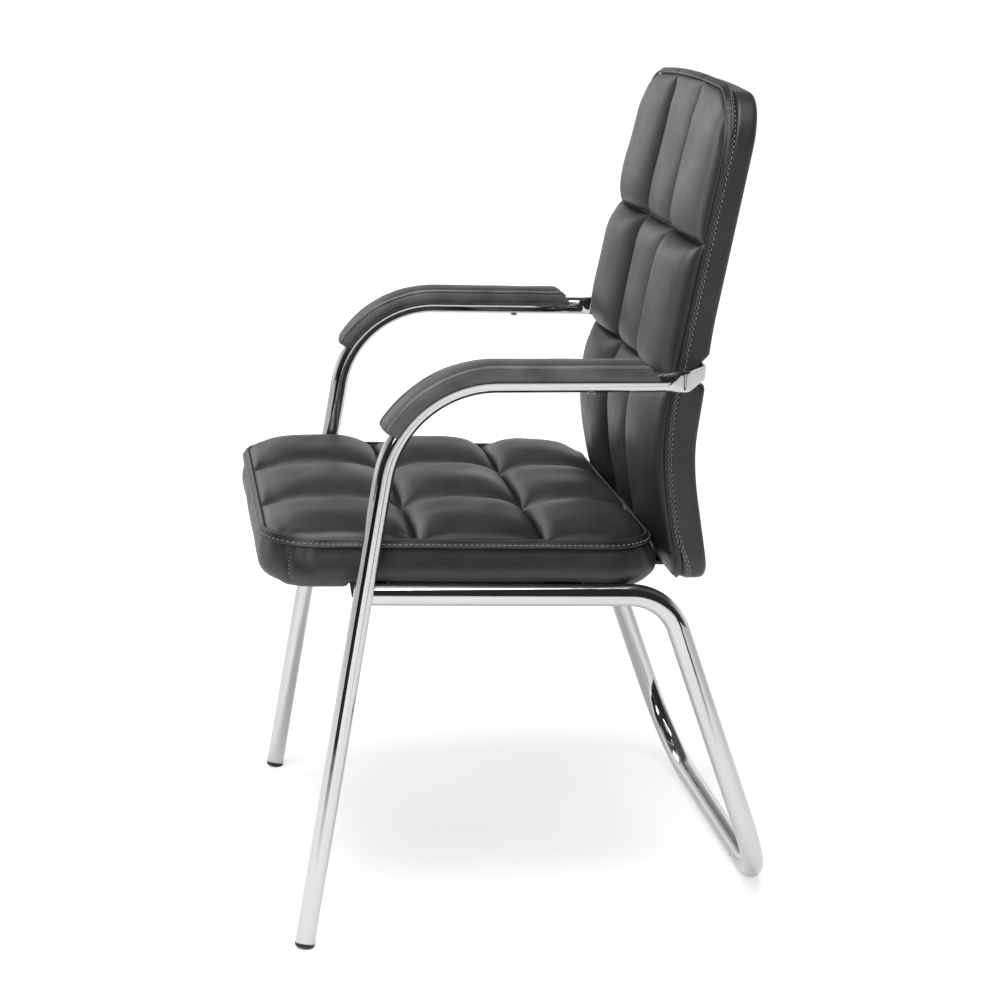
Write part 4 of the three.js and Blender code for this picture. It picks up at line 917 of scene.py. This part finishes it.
def cloudy_finish(name, cloud, dark, light, sheen, grain=None, metallic=0.0, stretch=(1, 1, 1)):
    """Colour and sheen follow one cloud of noise. The grain is what the bumps come from, its settings, their
    strength and their depth."""
    finish = Finish(name, metallic)
    vector = finish.pattern(stretch)
    cloud = finish.noise(vector, *cloud)
    finish.colour(cloud, dark, light)
    finish.sheen(cloud, *sheen)
    if grain:
        source, settings, strength, depth = grain
        finish.bump(source(finish, vector, *settings), strength, depth)
    return finish.material


ORANGE_PEEL = (Nodes.noise, (900, 2), 0.12, 0.0003)
chrome = chrome_finish()
leather = leather_finish("black_leather", (0.012, 0.012, 0.0125), (0.036, 0.036, 0.037), 0.36, 0.46)
# The welt gets a lighter copy of the black leather: a painted highlight along the strip.
welt_leather_with_painted_highlight = leather_finish("welt_leather_with_painted_highlight", (0.012, 0.012, 0.0125), (0.052, 0.052, 0.053), 0.34, 0.46, 0.18)
# The pads get a copy of the black leather that goes much lighter: painted highlight on their piping beads and
# flanks.
pad_leather_with_painted_highlight = leather_finish("pad_leather_with_painted_highlight", (0.016, 0.016, 0.0165), (0.19, 0.19, 0.194), 0.40, 0.52, 0.3)
# Waxed grey thread with a fine twist.
thread = cloudy_finish("grey_thread", (900, 2), (0.22, 0.22, 0.225), (0.46, 0.46, 0.47), (0.4, 0.65))
# Black moulded plastic: fine spark-eroded grain, cloudy sheen.
plastic = cloudy_finish("black_plastic", (120, 4), (0.014, 0.014, 0.015), (0.034, 0.034, 0.035), (0.42, 0.62),
                        (Nodes.noise, (1600, 2), 0.25, 0.0003))
# Painted and zinc-plated steel: fine orange peel, cloudy sheen and small scuffs.
black_steel = cloudy_finish("black_paint", (60, 5, 0.65), (0.016, 0.016, 0.017), (0.03, 0.03, 0.032), (0.32, 0.5),
                            ORANGE_PEEL)
zinc = cloudy_finish("zinc_plate", (60, 5, 0.65), (0.5, 0.51, 0.53), (0.66, 0.67, 0.69), (0.22, 0.4),
                     ORANGE_PEEL, metallic=1.0)
# Birch plywood: long grain streaks.
plywood = cloudy_finish("plywood_board", (3, 6, 0.6), (0.42, 0.27, 0.14), (0.66, 0.48, 0.29), (0.6, 0.8),
                        (Nodes.noise, (3, 6, 0.6), 0.2, 0.0006), stretch=(4, 60, 60))
# Thin black spun cloth: matted fibres over a small pressed dot pattern.
dust_cloth = cloudy_finish("dust_cloth", (500, 5, 0.7), (0.012, 0.012, 0.013), (0.04, 0.04, 0.043), (0.8, 0.98),
                           (Nodes.cells, (420, 0.2), 0.4, 0.0005))

FINISHES = {
    "chrome_tube": chrome, "leather": leather, "leather_welt": welt_leather_with_painted_highlight, "black_steel": black_steel,
    "zinc_fastener": zinc, "black_plastic": plastic, "plywood": plywood, "dust_cloth": dust_cloth,
}
for part in frame["record"]["subparts"]:
    node = frame["nodes"][part["node"]]
    node.data.materials.clear()
    node.data.materials.append(FINISHES[part["material_slot"]])


# ---- The chair

for side, label in ((1, "left"), (-1, "right")):
    make_arm_tube(side, label, chrome)
    make_arm_pad(side, label, pad_leather_with_painted_highlight)
    make_foot_cap(side, label, plastic)

make_rear_frame(chrome)
make_seat_quilt(leather)
make_back_quilt(leather)
make_back_shell(leather)
SEAT_JOINS = [(x, y) for x in (-196, 196) for y in (-SEAT_DEPTH / 2, SEAT_DEPTH / 2)]
BACK_JOINS = [(x, BACK_HEIGHT / 2 - down) for x, down in ((-62, 0), (62, 0), (-200, 20), (200, 20))]
make_welt("seat_welt_strip", SEAT_OUTLINE, seat_place, (2.9, 2.4), (5.5, 5.5), SEAT_JOINS, ["seat_welt"])
make_welt("back_welt_strip", BACK_OUTLINE, back_place, (1.6, 6.2), (2.3, 4.6), BACK_JOINS, ["back_welt"])
make_seat_stitches()
make_corner_stitches()
make_back_stitches()


# ---- Studio

PAPER_WHITE, OPEN_STUDIO = (0.88, 0.88, 0.88), (0.03, 0.03, 0.03)
# Each dark wedge lies between two lines on the floor, each given as its slope and its edge.
DARK_WEDGES = (((1.7, 0.26), (0.29, -0.15)), ((-0.72, -0.45), (-1.0, -0.52)))
AMBIENT = 0.42
CAMERA_PLACE = np.array([2.6734, -0.4037 + SHIFT * MM, 1.1015])
CAMERA_YAW, CAMERA_PITCH = math.radians(81.3186), math.radians(13.880)
SENSOR_WIDTH, FOCAL_RATIO = 36.0, 2.2992


def make_floor():
    """A large pale floor. Where it is seen it is lifted to white and keeps the chair's shadow. In reflections two
    wedges on the camera's side are dark, as the open studio is beyond the edge of the paper."""
    bpy.ops.mesh.primitive_plane_add(size=60)
    floor = bpy.context.object
    floor.name = "studio_floor"
    material = bpy.data.materials.new("pale_floor")
    paper = Nodes(material)
    paper.tree.nodes.clear()
    seen, glossy = paper.seen_rays()
    x, y, _ = paper.split(paper.pattern())
    inside = 0.0
    for (steep_slope, steep_edge), (flat_slope, flat_edge) in DARK_WEDGES:
        steep, flat = (paper.sum(paper.product(x, slope), y) for slope in (steep_slope, flat_slope))
        wedge = paper.product(paper.ranged(steep, steep_edge, steep_edge + 0.12, 0, 1),
                              paper.ranged(flat, flat_edge - 0.06, flat_edge + 0.06, 1, 0))
        inside = paper.combined("MAXIMUM", wedge, inside)
    inside = paper.product(inside, paper.ranged(x, 0.6, 1.35, 0, 1))
    open_paper = paper.rest(paper.product(inside, glossy))
    away = paper.sum(paper.product(x, x), paper.product(y, y))
    lift = paper.product(seen, paper.ranged(away, 0.6, 6.0, 0.46, 0.72))
    lift = paper.product(lift, paper.rest(paper.product(glossy, 0.6)))
    matt = paper.add("BsdfDiffuse", "BSDF", Color=paper.blended(open_paper, OPEN_STUDIO, PAPER_WHITE))
    glow = paper.add("Emission", "Emission", Strength=paper.product(lift, open_paper))
    both = paper.tree.nodes.new("ShaderNodeAddShader")
    paper.put(matt, both.inputs[0])
    paper.put(glow, both.inputs[1])
    paper.put(both.outputs[0], paper.tree.nodes.new("ShaderNodeOutputMaterial").inputs["Surface"])
    floor.data.materials.append(material)


def make_world():
    """A white room behind the chair, darker on the camera's side and above in reflections, and softer as light."""
    world = bpy.data.worlds.new("white_room")
    bpy.context.scene.world = world
    room = Nodes(world)
    background = world.node_tree.nodes["Background"].inputs
    room.put((1, 1, 1, 1), background["Color"])
    seen, glossy = room.seen_rays()
    x, _, z = room.split(room.add("TexCoord", "Generated"))
    side, above = room.ranged(x, -0.25, 0.30, 0, 0.97), room.ranged(z, 0.16, 0.50, 0, 0.90)
    white = room.rest(room.product(room.combined("MAXIMUM", side, above), glossy))
    ambient = room.product(room.rest(seen), AMBIENT)
    room.put(room.sum(room.product(seen, white), ambient), background["Strength"])


def aimed(name, data, place, target):
    """Puts a lamp or camera at a place in metres, upright and looking at the target."""
    forward = unit(np.subtract(target, place))
    right = unit(np.cross(forward, UP))
    matrix = np.eye(4)
    matrix[:3] = np.stack([right, np.cross(right, forward), -forward, place], -1)
    thing = bpy.data.objects.new(name, data)
    thing.matrix_world = Matrix(matrix.tolist())
    bpy.context.collection.objects.link(thing)
    return thing


def make_lamp(name, place, aim_height, size, power):
    """A soft square lamp aimed at a point above the middle of the floor."""
    data = bpy.data.lights.new(name, "AREA")
    data.size, data.energy = size, power
    aimed(name, data, place, (0, 0, aim_height))


def make_camera():
    """The photo's view: from the sitter's left, a little in front and above."""
    level_way = np.array([-math.sin(CAMERA_YAW), math.cos(CAMERA_YAW), 0.0])
    forward = level_way * math.cos(CAMERA_PITCH) - UP * math.sin(CAMERA_PITCH)
    data = bpy.data.cameras.new("photo_camera")
    data.sensor_width, data.lens = SENSOR_WIDTH, SENSOR_WIDTH * FOCAL_RATIO
    bpy.context.scene.camera = aimed("photo_camera", data, CAMERA_PLACE, CAMERA_PLACE + forward)


make_floor()
make_world()
make_lamp("soft_overhead", (0.7, -0.3, 2.8), 0.5, 1.8, 52)
make_lamp("soft_far_side", (-2.4, -1.6, 2.0), 0.6, 1.6, 14)
make_lamp("soft_fill", (2.9, -1.4, 2.1), 0.5, 1.6, 29)
make_camera()
bpy.context.scene.view_settings.view_transform = "Standard"
